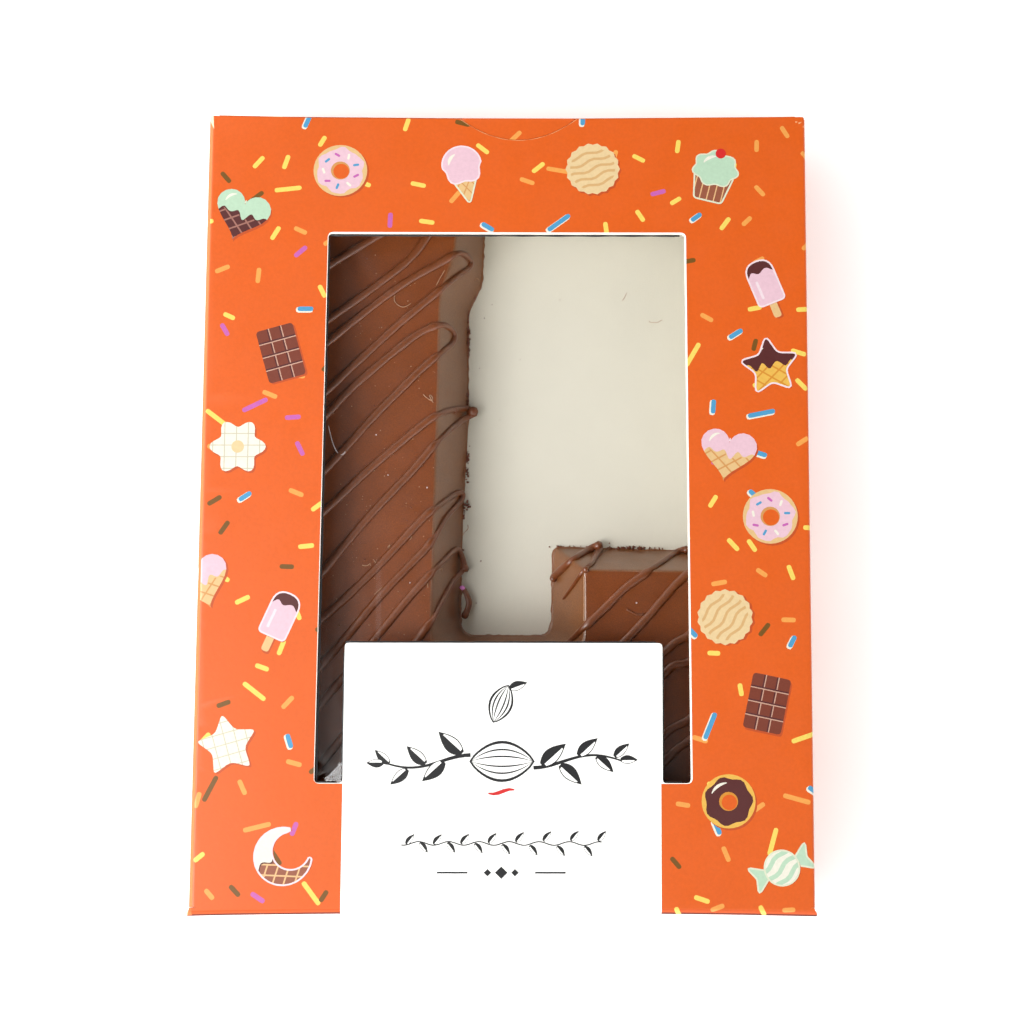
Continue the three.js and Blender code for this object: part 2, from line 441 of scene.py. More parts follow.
def iced_heart(pen, base, line, icing, rim):
    body = lay_body(pen, heart_outline(), base, rim)
    draw_lattice(pen, body, line)
    draw_icing(pen, body, icing, 1.0, 1.8, 0.4, base)
    draw_gleam(pen, body, -1.9, 2.0)


def dark_heart(pen):
    iced_heart(pen, "dark", "dark_line", "mint", "mint_rim")


def tan_heart(pen):
    iced_heart(pen, "tan", "tan_line", "pink", "pink_rim")


def iced_star(pen):
    body = lay_body(pen, star_outline(), "gold", "pink_rim")
    draw_lattice(pen, body, "gold_line")
    draw_icing(pen, body, "dark", 0.9, 1.9, 1.6)
    draw_gleam(pen, body, -0.6, 2.4, 1.6)


def white_star(pen):
    body = lay_body(pen, star_outline(6.4, 3.4), "bone")
    draw_lattice(pen, body, "bone_line", 2.2, 0.2, (4, 94))


def doughnut(pen):
    body = lay_body(pen, disc(5.6), "tan")
    glaze = polar_outline(lambda a: 4.9 + 0.3 * math.sin(6 * a) + 0.15 * math.sin(11 * a))
    glaze = pen.add(glaze, "pink", (body,))
    for step in range(9):
        angle = math.radians(40 * step + 11)
        around = Vector((math.cos(angle), math.sin(angle))) * 3.5
        ink = ("blue", "bone", "violet")[step % 3]
        pen.add(placed(sprinkle_outline(1.3, 0.5), around.x, around.y, 70 * step), ink, (glaze,))
    pen.add(disc(2.0, 20), "tan_line")
    pen.add(placed(disc(1.65, 20), *HOLE_SHIFT), "orange")


def choc_doughnut(pen):
    body = lay_body(pen, disc(5.4), "gold")
    glaze = pen.add(polar_outline(lambda a: 4.7 + 0.28 * math.sin(7 * a + 1)), "dark", (body,))
    draw_gleam(pen, glaze, 0, 0, 3.7, 95, 60, 0.6)
    pen.add(disc(1.9, 20), "gold_line")
    pen.add(placed(disc(1.55, 20), *HOLE_SHIFT), "orange")


def round_biscuit(pen):
    edge = polar_outline(lambda a: 5.5 + 0.18 * math.cos(18 * a), 72)
    lay_body(pen, edge, "cream")
    inside = pen.add(disc(4.7), "cream")
    draw_waves(pen, inside, "cream_line")


def flower_biscuit(pen):
    body = lay_body(pen, polar_outline(lambda a: 4.9 + 0.85 * math.cos(6 * a), 60), "bone")
    draw_lattice(pen, body, "bone_line", 2.4, 0.2, (0, 90))
    pen.add(disc(1.3, 18), "cream")


def chocolate_bar(pen):
    body = lay_body(pen, box_outline(-3.9, -5.6, 3.9, 5.6, 0.8), "milk")
    for x in (-1.3, 1.3):
        pen.add(box_outline(x - 0.32, -6, x, 6, 0.05), "dark", (body,))
        pen.add(box_outline(x, -6, x + 0.22, 6, 0.05), "milk_line", (body,))
    for y in (-2.8, 0, 2.8):
        pen.add(box_outline(-5, y, 5, y + 0.32, 0.05), "dark", (body,))
        pen.add(box_outline(-5, y - 0.22, 5, y, 0.05), "milk_line", (body,))


def ice_cone(pen):
    cone = soft_corners([(0, -6), (3.4, 1.6), (-3.4, 1.6)], 0.6)
    body = lay_body(pen, cone, "tan", "mint_rim")
    draw_lattice(pen, body, "tan_line", 1.7, 0.26, (58, -58))
    scoop = polar_outline(lambda a: 3.9 + (0.45 * math.sin(5 * a) if math.sin(a) < 0.1 else 0))
    scoop = placed(scoop, 0, 2.5)
    pen.add(grown(scoop, SWEET_RIM), "pink_rim")
    scoop = pen.add(scoop, "pink")
    draw_gleam(pen, scoop, 0, 2.5, 2.7, 110, 60, 0.7)


def ice_lolly(pen):
    stick = box_outline(-0.8, -6.4, 0.8, -2, 0.6)
    lay_body(pen, stick, "tan")
    shape = soft_corners([(-2.7, -3), (2.7, -3), (2.7, 6), (-2.7, 6)], [0.7, 0.7, 2.6, 2.6], 6)
    body = lay_body(pen, shape, "pink", "pink_rim")
    draw_icing(pen, body, "dark", 4.2, 1.3, 2.0)
    pen.add(box_outline(-1.7, -1.8, -1.15, 2.2, 0.25), "pink_rim", (body,))


def cup_cake(pen):
    cup = soft_corners([(-2.8, -5.4), (2.8, -5.4), (4.0, 0.4), (-4.0, 0.4)], 0.5)
    body = lay_body(pen, cup, "brown", "mint_rim")
    draw_lattice(pen, body, "brown_line", 1.5, 0.24, (90,), 6)
    top = polar_outline(lambda a: 4.4 + 0.4 * math.cos(7 * a + 0.4), 56)
    top = [Vector((point.x, 1.6 + point.y * 0.8)) for point in top]
    pen.add(grown(top, 0.3), "mint_rim")
    top = pen.add(top, "mint")
    draw_gleam(pen, top, 0, 1.4, 2.9, 100, 60, 0.7)
    pen.add(placed(disc(1.1, 16), 0.3, 5.1), "red")


def iced_crescent(pen):
    body = lay_body(pen, crescent_outline(), "brown", "pink_rim")
    draw_lattice(pen, body, "brown_line")
    draw_icing(pen, body, "bone", 1.4, 1.6, 1.1, "dark")


def wrapped_sweet(pen):
    for side in (-1, 1):
        fan = [(side * 2.2, 0), (side * 6.2, side * -2.6), (side * 5.3, 0), (side * 6.2, side * 2.6)]
        lay_body(pen, soft_corners(fan, 0.4, 2), "mint", "mint_rim")
    body = lay_body(pen, disc(3.3), "bone", "mint_rim")
    draw_waves(pen, body, "mint", 2.0, 0.9, 5)


SWEETS = [
    doughnut, dark_heart, ice_cone, round_biscuit, cup_cake, chocolate_bar, flower_biscuit,
    iced_crescent, ice_lolly, white_star, tan_heart, iced_star, choc_doughnut, wrapped_sweet,
]

# Where the sweets lie on the front: place, turn in degrees and kind
FRONT_SWEETS = [
    (-33, 67, 10, doughnut), (-52.5, 57.5, -18, dark_heart), (-8.5, 66, 12, ice_cone),
    (17, 67.5, 0, round_biscuit), (41, 66, -14, cup_cake), (-44, 30, 16, chocolate_bar),
    (-52, 11.5, 0, flower_biscuit), (-58.2, -15, 20, tan_heart), (-43.5, -22.5, -24, ice_lolly),
    (-52.5, -46, 12, white_star), (-41.5, -67, 35, iced_crescent), (51.3, 43, 22, ice_lolly),
    (43.3, 10, -10, tan_heart), (51.8, 27.5, 8, iced_star), (51.5, -2, 0, doughnut),
    (42.6, -21.5, 30, round_biscuit), (50.5, -38, -12, chocolate_bar), (43, -56.5, 0, choc_doughnut),
    (53, -69, 25, wrapped_sweet),
]
SWEET_SPACING = 27
SWEET_SCALE = 0.95
# The most that a sweet laid by chance is turned either way
SWEET_TURN = 40
# Sweets on the walls and on the base's end and the lid's: how far along they lie
WALL_SWEETS = {-1: (-56, -33, 27, 55), 1: (-62, -38, -12, 14, 38, 62)}
BASE_SWEETS = (40, 53)
LID_SWEETS = range(-44, 45, 22)


def print_sweet(sheet, x, y, turn, sweet):
    sweet(Pen(sheet, x, y, turn, SWEET_SCALE))


def any_sweet(dice):
    """A turn and a kind by chance"""
    return dice.uniform(-SWEET_TURN, SWEET_TURN), dice.choice(SWEETS)


def scatter_sweets(sheet, left, bottom, right, top, dice):
    """Sweets in a staggered grid, each a little off its place and at its own turn"""
    columns = max(round((right - left) / SWEET_SPACING), 1)
    rows = max(round((top - bottom) / SWEET_SPACING), 1)
    for row in range(rows):
        for column in range(columns):
            stagger = 0.25 if row % 2 else -0.25
            x = mix(left, right, (column + 0.5 + stagger + dice.uniform(-0.1, 0.1)) / columns)
            y = mix(bottom, top, (row + 0.5 + dice.uniform(-0.15, 0.15)) / rows)
            print_sweet(sheet, x, y, dice.uniform(-35, 35), SWEETS[(3 * row + 5 * column) % len(SWEETS)])


# Label: a bud, a cocoa spray, a garland of small leaves and two short rules, in black on white

def leaf(pen, length, width):
    """One half of a leaf is filled, the other in outline"""
    upper = []
    lower = []
    for step in range(13):
        share = step / 12
        swell = width * math.sin(math.pi * share ** 0.85)
        upper.append(Vector((length * share, swell)))
        lower.append(Vector((length * share, -0.85 * swell)))
    pen.add(upper[1:] + lower[:0:-1], "black")
    inside = [point + Vector((0, 0.14 * width)) for point in lower[2:-2]]
    pen.add(inside + [Vector((point.x, -0.08 * width)) for point in reversed(inside)], "white")


def cocoa_pod(pen, length, width):
    """A pod with ribs from end to end"""
    def lens(half_width, shift=0.0):
        top = []
        for step in range(17):
            share = step / 16
            top.append(Vector((mix(-length / 2, length / 2, share),
                               half_width * math.sin(math.pi * share) ** 0.75 + shift)))
        bottom = [Vector((point.x, 2 * shift - point.y)) for point in reversed(top[1:-1])]
        return top + bottom
    pen.add(lens(width / 2), "black")
    pen.add([point * 0.93 for point in lens(width / 2 - 0.3)], "white")
    for share in (0.62, 0.26):
        pen.add([point * 0.93 for point in lens(share * width / 2 + 0.16)], "black")
        pen.add([point * 0.92 for point in lens(share * width / 2 - 0.16)], "white")


# Heights of the label's rows on the front
BUD_ROW = -38.1
SPRAY_ROW = -49
ACCENT_ROW = -54.7
GARLAND_ROW = -64.6
RULE_ROW = -70.2


def spray_stem(x, side):
    """Height of the spray's stem over its middle line, at a distance from the label's centre"""
    return -side * 1.2 * math.sin(0.27 * x)


def print_label(sheet, centre):
    def at(x, y, turn=0, scale=1.0):
        return Pen(sheet, centre + x, y, turn, scale)
    cocoa_pod(at(-0.3, BUD_ROW, 68), 7.8, 4.6)
    leaf(at(1.0, BUD_ROW + 2.7, 20), 4.0, 1.0)
    cocoa_pod(at(0, SPRAY_ROW), 12.5, 7.8)
    for side in (-1, 1):
        turn = 0 if side > 0 else 180
        stem = [Vector((centre + side * x, SPRAY_ROW + spray_stem(x, side))) for x in range(6, 24)]
        sheet.add(ribbon(stem, lambda share: 0.75 - 0.45 * share), "black")
        for index in range(5):
            x = 7.2 + 3.5 * index
            lean = 42 if (index + (side > 0)) % 2 else -42
            pen = at(side * x, SPRAY_ROW + spray_stem(x, side), turn + lean, 1.05 - 0.1 * index)
            leaf(pen, 6.4, 1.5)
        leaf(at(side * 22.3, SPRAY_ROW + spray_stem(22.3, side), turn, 0.6), 6.0, 1.5)
    accent = [Vector((centre + x - 2.6, ACCENT_ROW + 0.45 * math.sin(0.9 * (x - 2.6)))) for x in range(6)]
    sheet.add(ribbon(accent, lambda share: 0.3 + 0.45 * math.sin(math.pi * share)), "red")

    stem = [Vector((centre + x / 2, GARLAND_ROW + 0.35 * math.sin(x * 0.55))) for x in range(-38, 39)]
    sheet.add(ribbon(stem, lambda share: 0.24), "black")
    for index in range(-7, 8):
        x = 2.6 * index
        lean = 52 if index % 2 else -52
        leaf(at(x, GARLAND_ROW + 0.35 * math.sin(1.1 * x), lean), 2.7, 0.62)
    for side in (-1, 1):
        rule = [Vector((centre + side * x, RULE_ROW)) for x in (6.4, 9.3, 12.2)]
        sheet.add(ribbon(rule, lambda share: 0.34), "black")
    for x in (-2.6, 0, 2.6):
        diamond = [(-0.8, 0), (0, -0.8), (0.8, 0), (0, 0.8)]
        sheet.add(placed(diamond, centre + x, RULE_ROW, 0, 1.5 if x == 0 else 0.9), "black")


# Carton

class Section:
    """A board's outer line seen end on: straight stretches joined by folds to the right.

    A squareness above 0 sharpens the outer line of the folds."""

    def __init__(self, start, stretches, fold, squareness=0.0):
        self.start = Vector(start)
        self.squareness = squareness
        self.stretches = stretches
        self.size, self.bend = fold
        self.arc = self.bend * math.pi / 4
        self.strip = (self.size - self.bend) * math.sqrt(2)
        self.folds = []
        distance = 0
        for stretch in stretches[:-1]:
            fold_start = distance + stretch
            distance = fold_start + self.strip + 2 * self.arc
            self.folds.append((fold_start, distance))

    def in_fold(self, distance, depth):
        """How far ahead and outward of a fold's start a point of it lies"""
        strip_end = self.arc + self.strip
        if distance < self.arc:
            centre = Vector((0, -self.bend))
            angle = distance / self.bend
        elif distance < strip_end:
            centre = Vector((0, -self.bend)) + Vector((1, -1)).normalized() * (distance - self.arc)
            angle = math.pi / 4
        else:
            centre = Vector((self.size - self.bend, -self.size))
            angle = math.pi / 4 + (distance - strip_end) / self.bend
        radius = self.bend - depth
        if depth == 0:
            radius = self.bend * (1 + self.squareness * math.sin(2 * angle) ** 2)
        return centre + Vector((math.sin(angle), math.cos(angle))) * radius

    def at(self, distance, depth):
        point = self.start
        heading = Vector((1, 0))
        walked = 0
        for stretch, (fold_start, fold_end) in zip(self.stretches, self.folds):
            if distance <= fold_start:
                break
            outward = Vector((-heading.y, heading.x))
            if distance < fold_end:
                ahead, out = self.in_fold(distance - fold_start, depth)
                return point + heading * (stretch + ahead) + outward * out
            walked = fold_end
            point = point + heading * (stretch + self.size) - outward * self.size
            heading = -outward
        outward = Vector((-heading.y, heading.x))
        return point + heading * (distance - walked) - outward * depth

    def creases(self):
        """Distances of the lines that a fold is bent along"""
        lines = []
        for fold_start, _ in self.folds:
            for bend_start in (fold_start, fold_start + self.arc + self.strip):
                lines += [bend_start + self.arc * step / BEND_STEPS for step in range(BEND_STEPS + 1)]
        return lines


def settled(point):
    """Where a point of a true carton ends up. The board is racked, its ends dip, its walls bow in and
    its front sags and waves"""
    x, y, z = point
    across = 1 - (x / HALF_WIDTH) ** 2
    along = 1 - (y / HALF_HEIGHT) ** 2
    near_end = smooth((abs(y) - HALF_HEIGHT + DIP_REACH) / DIP_REACH)
    dip = (TOP_DIP if y > 0 else BOTTOM_DIP) * (1 - abs(x / HALF_WIDTH) ** 3) * near_end
    bow = WALL_BOW * along * math.sin(math.pi * z / DEPTH) * smooth(abs(x) / HALF_WIDTH) ** 4
    wave = FRONT_WAVE * noise.noise(Vector((x, y, 7)) / WAVE_LENGTH)
    drop = z / DEPTH * (FRONT_SAG * across * along + wave * along)
    sideways = RACK_ACROSS * y - math.copysign(bow, x)
    endways = RACK_ALONG * x - math.copysign(dip, y)
    return Vector((x + sideways, y + endways, z - drop))


def triangulated(outline, holes, shapes, lines, loose):
    """Flat triangles of an outline, with the numbers of the outline, holes and shapes that each lies in"""
    points = []
    edges = []
    faces = []
    for ring in [outline] + holes + shapes:
        ring = list(ring) if signed_area(list(ring)) > 0 else list(reversed(ring))
        faces.append(list(range(len(points), len(points) + len(ring))))
        points += [Vector(point) for point in ring]
    for start, end in lines:
        edges.append((len(points), len(points) + 1))
        points += [Vector(start), Vector(end)]
    points += [Vector(point) for point in loose]
    corners, _, triangles, _, _, sources = delaunay_2d_cdt(points, edges, faces, 0, 1e-4)
    last_hole = len(holes)
    kept = []
    for triangle, inside in zip(triangles, sources):
        inside = set(inside)
        if 0 in inside and not any(number in inside for number in range(1, last_hole + 1)):
            kept.append((triangle, {number - last_hole - 1 for number in inside if number > last_hole}))
    return corners, kept


def board_sheet(name, printing, outline, holes, lines, loose, place):
    """A printed board: place gives the point at a flat position and a depth below the outer face"""
    shapes = [points for points, _, _ in printing.shapes]
    corners, kept = triangulated(outline, holes, shapes, lines, loose)
    used = sorted({index for triangle, _ in kept for index in triangle})
    number = {index: order for order, index in enumerate(used)}
    count = len(used)
    points = [settled(place(corners[index], 0)) for index in used]
    points += [settled(place(corners[index], BOARD)) for index in used]
    faces = []
    kinds = []
    colours = []
    open_edges = {}
    for triangle, inside in kept:
        a, b, c = (number[index] for index in triangle)
        faces.append((a, b, c))
        kinds.append(0)
        ink = printing.ink_on(inside)
        colours += linear(INKS[ink], VARNISH.get(ink, 1.0)) * 3
        faces.append((c + count, b + count, a + count))
        kinds.append(1)
        colours += linear(INKS["core"]) * 3
        for edge in ((a, b), (b, c), (c, a)):
            if edge[::-1] in open_edges:
                del open_edges[edge[::-1]]
            else:
                open_edges[edge] = True
    for a, b in open_edges:
        faces.append((a, a + count, b + count, b))
        kinds.append(2)
        colours += linear(INKS["core"]) * 4
    piece = mesh_object(name, points, faces, kinds, print_material, bare_material, core_material)
    inks = piece.data.attributes.new("ink", "FLOAT_COLOR", "CORNER")
    inks.data.foreach_set("color", colours)
    piece.data.set_sharp_from_angle(angle=BOARD_ARRIS)
    return piece


def mesh_object(name, points, faces, kinds, *materials):
    """A smooth piece of the scene; kinds are its faces' numbers of material"""
    mesh = bpy.data.meshes.new(name)
    mesh.from_pydata([Vector(point) * MM for point in points], [], faces)
    for material in materials:
        mesh.materials.append(material)
    if kinds:
        mesh.polygons.foreach_set("material_index", kinds)
    mesh.shade_smooth()
    mesh.validate()
    piece = bpy.data.objects.new(name, mesh)
    bpy.context.scene.collection.objects.link(piece)
    return piece


def grid_points(left, bottom, right, top, spacing):
    """Points inside a box, in staggered rows"""
    columns = round((right - left) / spacing)
    rows = round((top - bottom) / spacing)
    points = []
    for column in range(1, columns):
        for row in range(1, rows):
            shift = 0.25 if row % 2 else -0.25
            points.append((mix(left, right, (column + shift) / columns), mix(bottom, top, row / rows)))
    return points


def window_outline():
    return soft_corners([
        (-WINDOW_HALF, WINDOW_TOP), (-WINDOW_HALF - WINDOW_LEAN, WINDOW_BOTTOM),
        (-TONGUE_HALF, WINDOW_BOTTOM), (-TONGUE_HALF, TONGUE_TOP), (TONGUE_HALF, TONGUE_TOP),
        (TONGUE_HALF, WINDOW_BOTTOM), (WINDOW_HALF + WINDOW_LEAN, WINDOW_BOTTOM), (WINDOW_HALF, WINDOW_TOP),
    ], WINDOW_CORNER)


def notch_edge(x):
    """How far below the front's top edge the notch reaches at x"""
    share = min(max((x - NOTCH_CENTRE + NOTCH_HALF) / (2 * NOTCH_HALF), 0), 1)
    return 4 * NOTCH_DEPTH * share * (1 - share)


def notch_arc(top, wider=0.0):
    """The notch's edge in a board that ends at top"""
    half = NOTCH_HALF + wider
    shares = [step / NOTCH_STEPS for step in range(NOTCH_STEPS + 1)]
    spots = [mix(NOTCH_CENTRE - half, NOTCH_CENTRE + half, share) for share in shares]
    return [Vector((x, top - notch_edge(x) - wider)) for x in spots]


def left_strip():
    """The left fold's flat strip, printed pale along its whole length as a painted highlight where it faces
    the light
    """
    size, bend = LEFT_FOLD
    start = HALF_WIDTH - size + bend * math.pi / 4
    stop = start + (size - bend) * math.sqrt(2)
    return [(-start, -HALF_HEIGHT), (-stop, -HALF_HEIGHT), (-stop, HALF_HEIGHT), (-start, HALF_HEIGHT)]


def print_front(sheet, front_half, label_low):
    label_left = -TONGUE_HALF
    label_right = TONGUE_HALF - 0.3
    for x, y, turn, sweet in FRONT_SWEETS:
        print_sweet(sheet, x, y, turn, sweet)
    left = WINDOW_BORDER["left"]
    right = WINDOW_BORDER["right"]
    low = WINDOW_BOTTOM - WINDOW_BORDER["bottom"]
    high = WINDOW_TOP + WINDOW_BORDER["top"]
    # Painted highlight: the left fold's strip is printed paler where the light catches it
    sheet.add(left_strip(), "worn")
    sheet.add(soft_corners([
        (-WINDOW_HALF - left, high), (-WINDOW_HALF - WINDOW_LEAN - left, low),
        (WINDOW_HALF + WINDOW_LEAN + right, low), (WINDOW_HALF + right, high),
    ], BORDER_CORNER), "white")
    sheet.add([(label_left, label_low), (label_right, label_low),
               (label_right, TONGUE_TOP), (label_left, TONGUE_TOP)], "white")
    print_label(sheet, (label_left + label_right) / 2)
    print_wear(sheet, front_half)


# Worn spots where the ink has come off: short chips, by centre, length, width and turn
CHIPS = [(58.2, 76.7, 0.7, 0.3, 20), (57.5, 76.9, 0.45, 0.3, 10), (58.9, 75.9, 0.5, 0.2, 80)]
# The left fold's top end has lost its ink, and so has the edge of the lower left corner
BARE_PATCHES = [
    [(-58.2, 75.2), (-58.5, 78.5), (-61.5, 78.5), (-61.5, 77.4), (-59.4, 77.0)],
    [(-58.95, -76.4), (-60.6, -76.4), (-60.6, -78.5), (-59.4, -78.1), (-59.25, -77.3)],
]


def print_wear(sheet, front_half):
    """Chips, bare corners and the notch's rubbed edge"""
    for x, y, length, width, turn in CHIPS:
        chip = polar_outline(lambda a: 1 + 0.25 * math.sin(3 * a + x) + 0.15 * math.sin(7 * a), 18)
        chip = [Vector((point.x * length / 2, point.y * width / 2)) for point in chip]
        sheet.add(placed(chip, x, y, turn), "scuffed")
    for patch in BARE_PATCHES:
        sheet.add(patch, "bare")
    arc = notch_arc(front_half, 0.05)
    sheet.add(ribbon(arc, lambda share: 0.07 + 0.05 * math.sin(40 * share)), "scuffed")


def make_wrap():
    """Front, walls, back and base, one sheet wound round the Y axis with its seam at the back's right"""
    front_half = HALF_HEIGHT - FLAP_GAP
    wall_half = HALF_HEIGHT - BOARD - FLAP_GAP
    back_half = HALF_HEIGHT - LID_FOLD[0]
    sections = {}
    for side, fold in FOLDS.items():
        flat_front = HALF_WIDTH - fold[0]
        sections[side] = Section((0, DEPTH), [flat_front, DEPTH - 2 * fold[0], flat_front], fold)
    seam = sections[1].folds[1][1]
    far_end = sections[-1].folds[1][1] + sections[-1].stretches[0] + sections[1].stretches[0] - SEAM_GAP

    slit = HALF_HEIGHT - SLIT_RISE
    lid_half = HALF_WIDTH - FLAP_GAP
    tuck_half = HALF_WIDTH - BOARD - TUCK_INSET
    flat_end = DEPTH - BOARD - FLAP_GAP - 2 * BASE_FOLD[0]
    base_section = Section((slit, DEPTH), [SLIT_RISE - BASE_FOLD[0], flat_end, TUCK_LENGTH - BASE_FOLD[0]],
                           BASE_FOLD)
    end_middle = -slit - (base_section.folds[0][1] + base_section.folds[1][0]) / 2
    end_low = -slit - sum(base_section.folds[1]) / 2
    base_low = -slit - base_section.folds[1][1] - base_section.stretches[2]

    def place(spot, depth):
        around, along = spot
        side = 1 if around > 0 else -1
        if -along > slit - TOLERANCE and abs(around) < HALF_WIDTH + EARS[side] + TOLERANCE:
            over_end = base_section.at(-along - slit, depth)
            return Vector((around, -over_end.x, over_end.y))
        across = sections[side].at(abs(around), depth)
        return Vector((side * across.x, along, across.y))

    def side_outline(side):
        """From the tuck flap up round the ear, the wall and its fold to the front's top corner"""
        fold_start, fold_end = sections[side].folds[0]
        corner_end = (fold_start + fold_end) / 2 if side > 0 else fold_end
        back_fold = sum(sections[side].folds[1]) / 2
        back_end = seam if side > 0 else far_end
        slit_start = sections[side].stretches[0] - SLIT_RUN
        ear = HALF_WIDTH + EARS[side]
        wall_start = ear + EAR_GAP
        worn = CORNER_MIDDLE * CORNER_ROUND
        slit_top = SLIT_WIDTH - slit
        ear_edge = [(mix(lid_half, ear, share), -slit - below) for below, share in reversed(EAR_EDGE)]
        return [(side * u, v) for u, v in [
            (tuck_half - TUCK_CORNER, base_low), (tuck_half, base_low + TUCK_CORNER), (tuck_half, end_low),
            (lid_half, end_low), *ear_edge,
            (slit_start, -slit), (slit_start, slit_top), (wall_start, slit_top), (wall_start, -wall_half),
            (back_fold, -wall_half), (back_fold, -front_half), (back_end, -front_half),
            (back_end, back_half), (back_fold, back_half), (back_fold, wall_half), (corner_end, wall_half),
            (corner_end, front_half - CORNER_ROUND), (corner_end - worn, front_half - worn),
            (corner_end - CORNER_ROUND, front_half),
        ]]

    sheet = Printing()
    # painted shade and shadow on the base fold, laid under the rest of the print
    for ink, start, stop in FOLD_SHADE_BANDS:
        top, bottom = (-slit - mix(*base_section.folds[0], share) for share in (start, stop))
        sheet.add(box_outline(-HALF_WIDTH - 1, bottom, HALF_WIDTH + 1, top, 0), ink)
    dice = random.Random(11)
    scatter_sprinkles(sheet, -far_end, -front_half, seam, front_half, dice)
    scatter_sprinkles(sheet, -lid_half, base_low, lid_half, -front_half - 1, dice)
    scatter_sweets(sheet, 2 - far_end, 4 - back_half, -sections[-1].folds[1][1] - 3, back_half - 4, dice)
    for side in (-1, 1):
        middle = side * (HALF_WIDTH + DEPTH / 2)
        for y in WALL_SWEETS[side]:
            print_sweet(sheet, middle + dice.uniform(-2, 2), y, *any_sweet(dice))
        for x in BASE_SWEETS:
            print_sweet(sheet, side * x, end_middle + dice.uniform(-3, 3), *any_sweet(dice))
    print_front(sheet, front_half, end_low)

    lines = []
    for side in (-1, 1):
        lines += [((side * distance, -HALF_HEIGHT - 2), (side * distance, HALF_HEIGHT + 2))
                  for distance in sections[side].creases()]
    lines += [((-HALF_WIDTH - 1, -slit - distance), (HALF_WIDTH + 1, -slit - distance))
              for distance in base_section.creases()]
    loose = grid_points(-far_end, -back_half, seam, back_half, WRAP_SPACING)
    loose += grid_points(-lid_half, base_low, lid_half, -slit, END_SPACING)
    holes = [window_outline(), notch_arc(front_half) + [Vector((NOTCH_CENTRE, front_half + 1))]]
    outline = side_outline(1) + side_outline(-1)[::-1]
    return board_sheet("printed_wrap", sheet, outline, holes, lines, loose, place)


def make_lid():
    """Lid: from the tuck flap behind the front, which swells into the notch, over the end to the back"""
    lid_half = HALF_WIDTH - FLAP_GAP
    tuck_half = HALF_WIDTH - BOARD - TUCK_INSET
    tuck_front = DEPTH - BOARD - NOTCH_GAP
    size = LID_FOLD[0]
    flat_tuck = TUCK_LENGTH - size
    section = Section((HALF_HEIGHT - TUCK_LENGTH, tuck_front), [flat_tuck, tuck_front - 2 * size, 0],
                      LID_FOLD, LID_SQUARENESS)
    (_, end_start), (end_stop, total) = section.folds
    end_middle = (end_start + end_stop) / 2

    def place(spot, depth):
        outer = section.at(spot[1], 0)
        along = section.at(spot[1], depth)
        edge = HALF_HEIGHT - FLAP_GAP - notch_edge(spot[0])
        swell = NOTCH_SWELL * smooth((outer.x - edge) / NOTCH_STEP) * outer.y / tuck_front
        return Vector((spot[0], along.x, along.y + swell))

    half_line = [(tuck_half - TUCK_CORNER, 0), (tuck_half, TUCK_CORNER), (tuck_half, end_start),
                 (lid_half, end_start), (lid_half, total)]
    outline = half_line + [(-u, v) for u, v in reversed(half_line)]
    sheet = Printing()
    dice = random.Random(21)
    scatter_sprinkles(sheet, -lid_half, 0, lid_half, total, dice)
    for x in LID_SWEETS:
        print_sweet(sheet, x + dice.uniform(-4, 4), end_middle + dice.uniform(-2, 2), *any_sweet(dice))
    stations = [NOTCH_CENTRE + NOTCH_HALF * step / 20 for step in range(-22, 23)]
    stations = [-lid_half - 1] + stations + [lid_half + 1]
    lines = [((start, distance), (end, distance)) for distance in section.creases()
             for start, end in zip(stations, stations[1:])]
    loose = grid_points(-lid_half, 0, lid_half, total, END_SPACING)
    for step in (0, NOTCH_STEP / 2, NOTCH_STEP):
        arc = notch_arc(TUCK_LENGTH - FLAP_GAP + step)
        lines += list(zip(arc[1:-2], arc[2:-1]))
    loose += grid_points(NOTCH_CENTRE - NOTCH_HALF - NOTCH_MARGIN, flat_tuck - NOTCH_DEPTH - NOTCH_MARGIN,
                         NOTCH_CENTRE + NOTCH_HALF + NOTCH_MARGIN, end_start, NOTCH_SPACING)
    return board_sheet("lid_and_tuck", sheet, outline, [], lines, loose, place)


# Materials

COAT_WEIGHT = 0.29
# How much rougher the print is where the varnish has worn off
WORN_ROUGHNESS = 0.45
BOARD_GRAIN = 0.000008
CHOCOLATE_GRAIN = 0.000012
# Share of light that the film mirrors, seen straight on and along its surface
FILM_MIRROR = (0.02, 0.3)


def add_node(tree, kind, inputs=None, **settings):
    made = tree.nodes.new("ShaderNode" + kind)
    for name, value in settings.items():
        setattr(made, name, value)
    for key, value in (inputs or {}).items():
        if isinstance(value, bpy.types.NodeSocket):
            tree.links.new(value, made.inputs[key])
        else:
            made.inputs[key].default_value = value
    return made


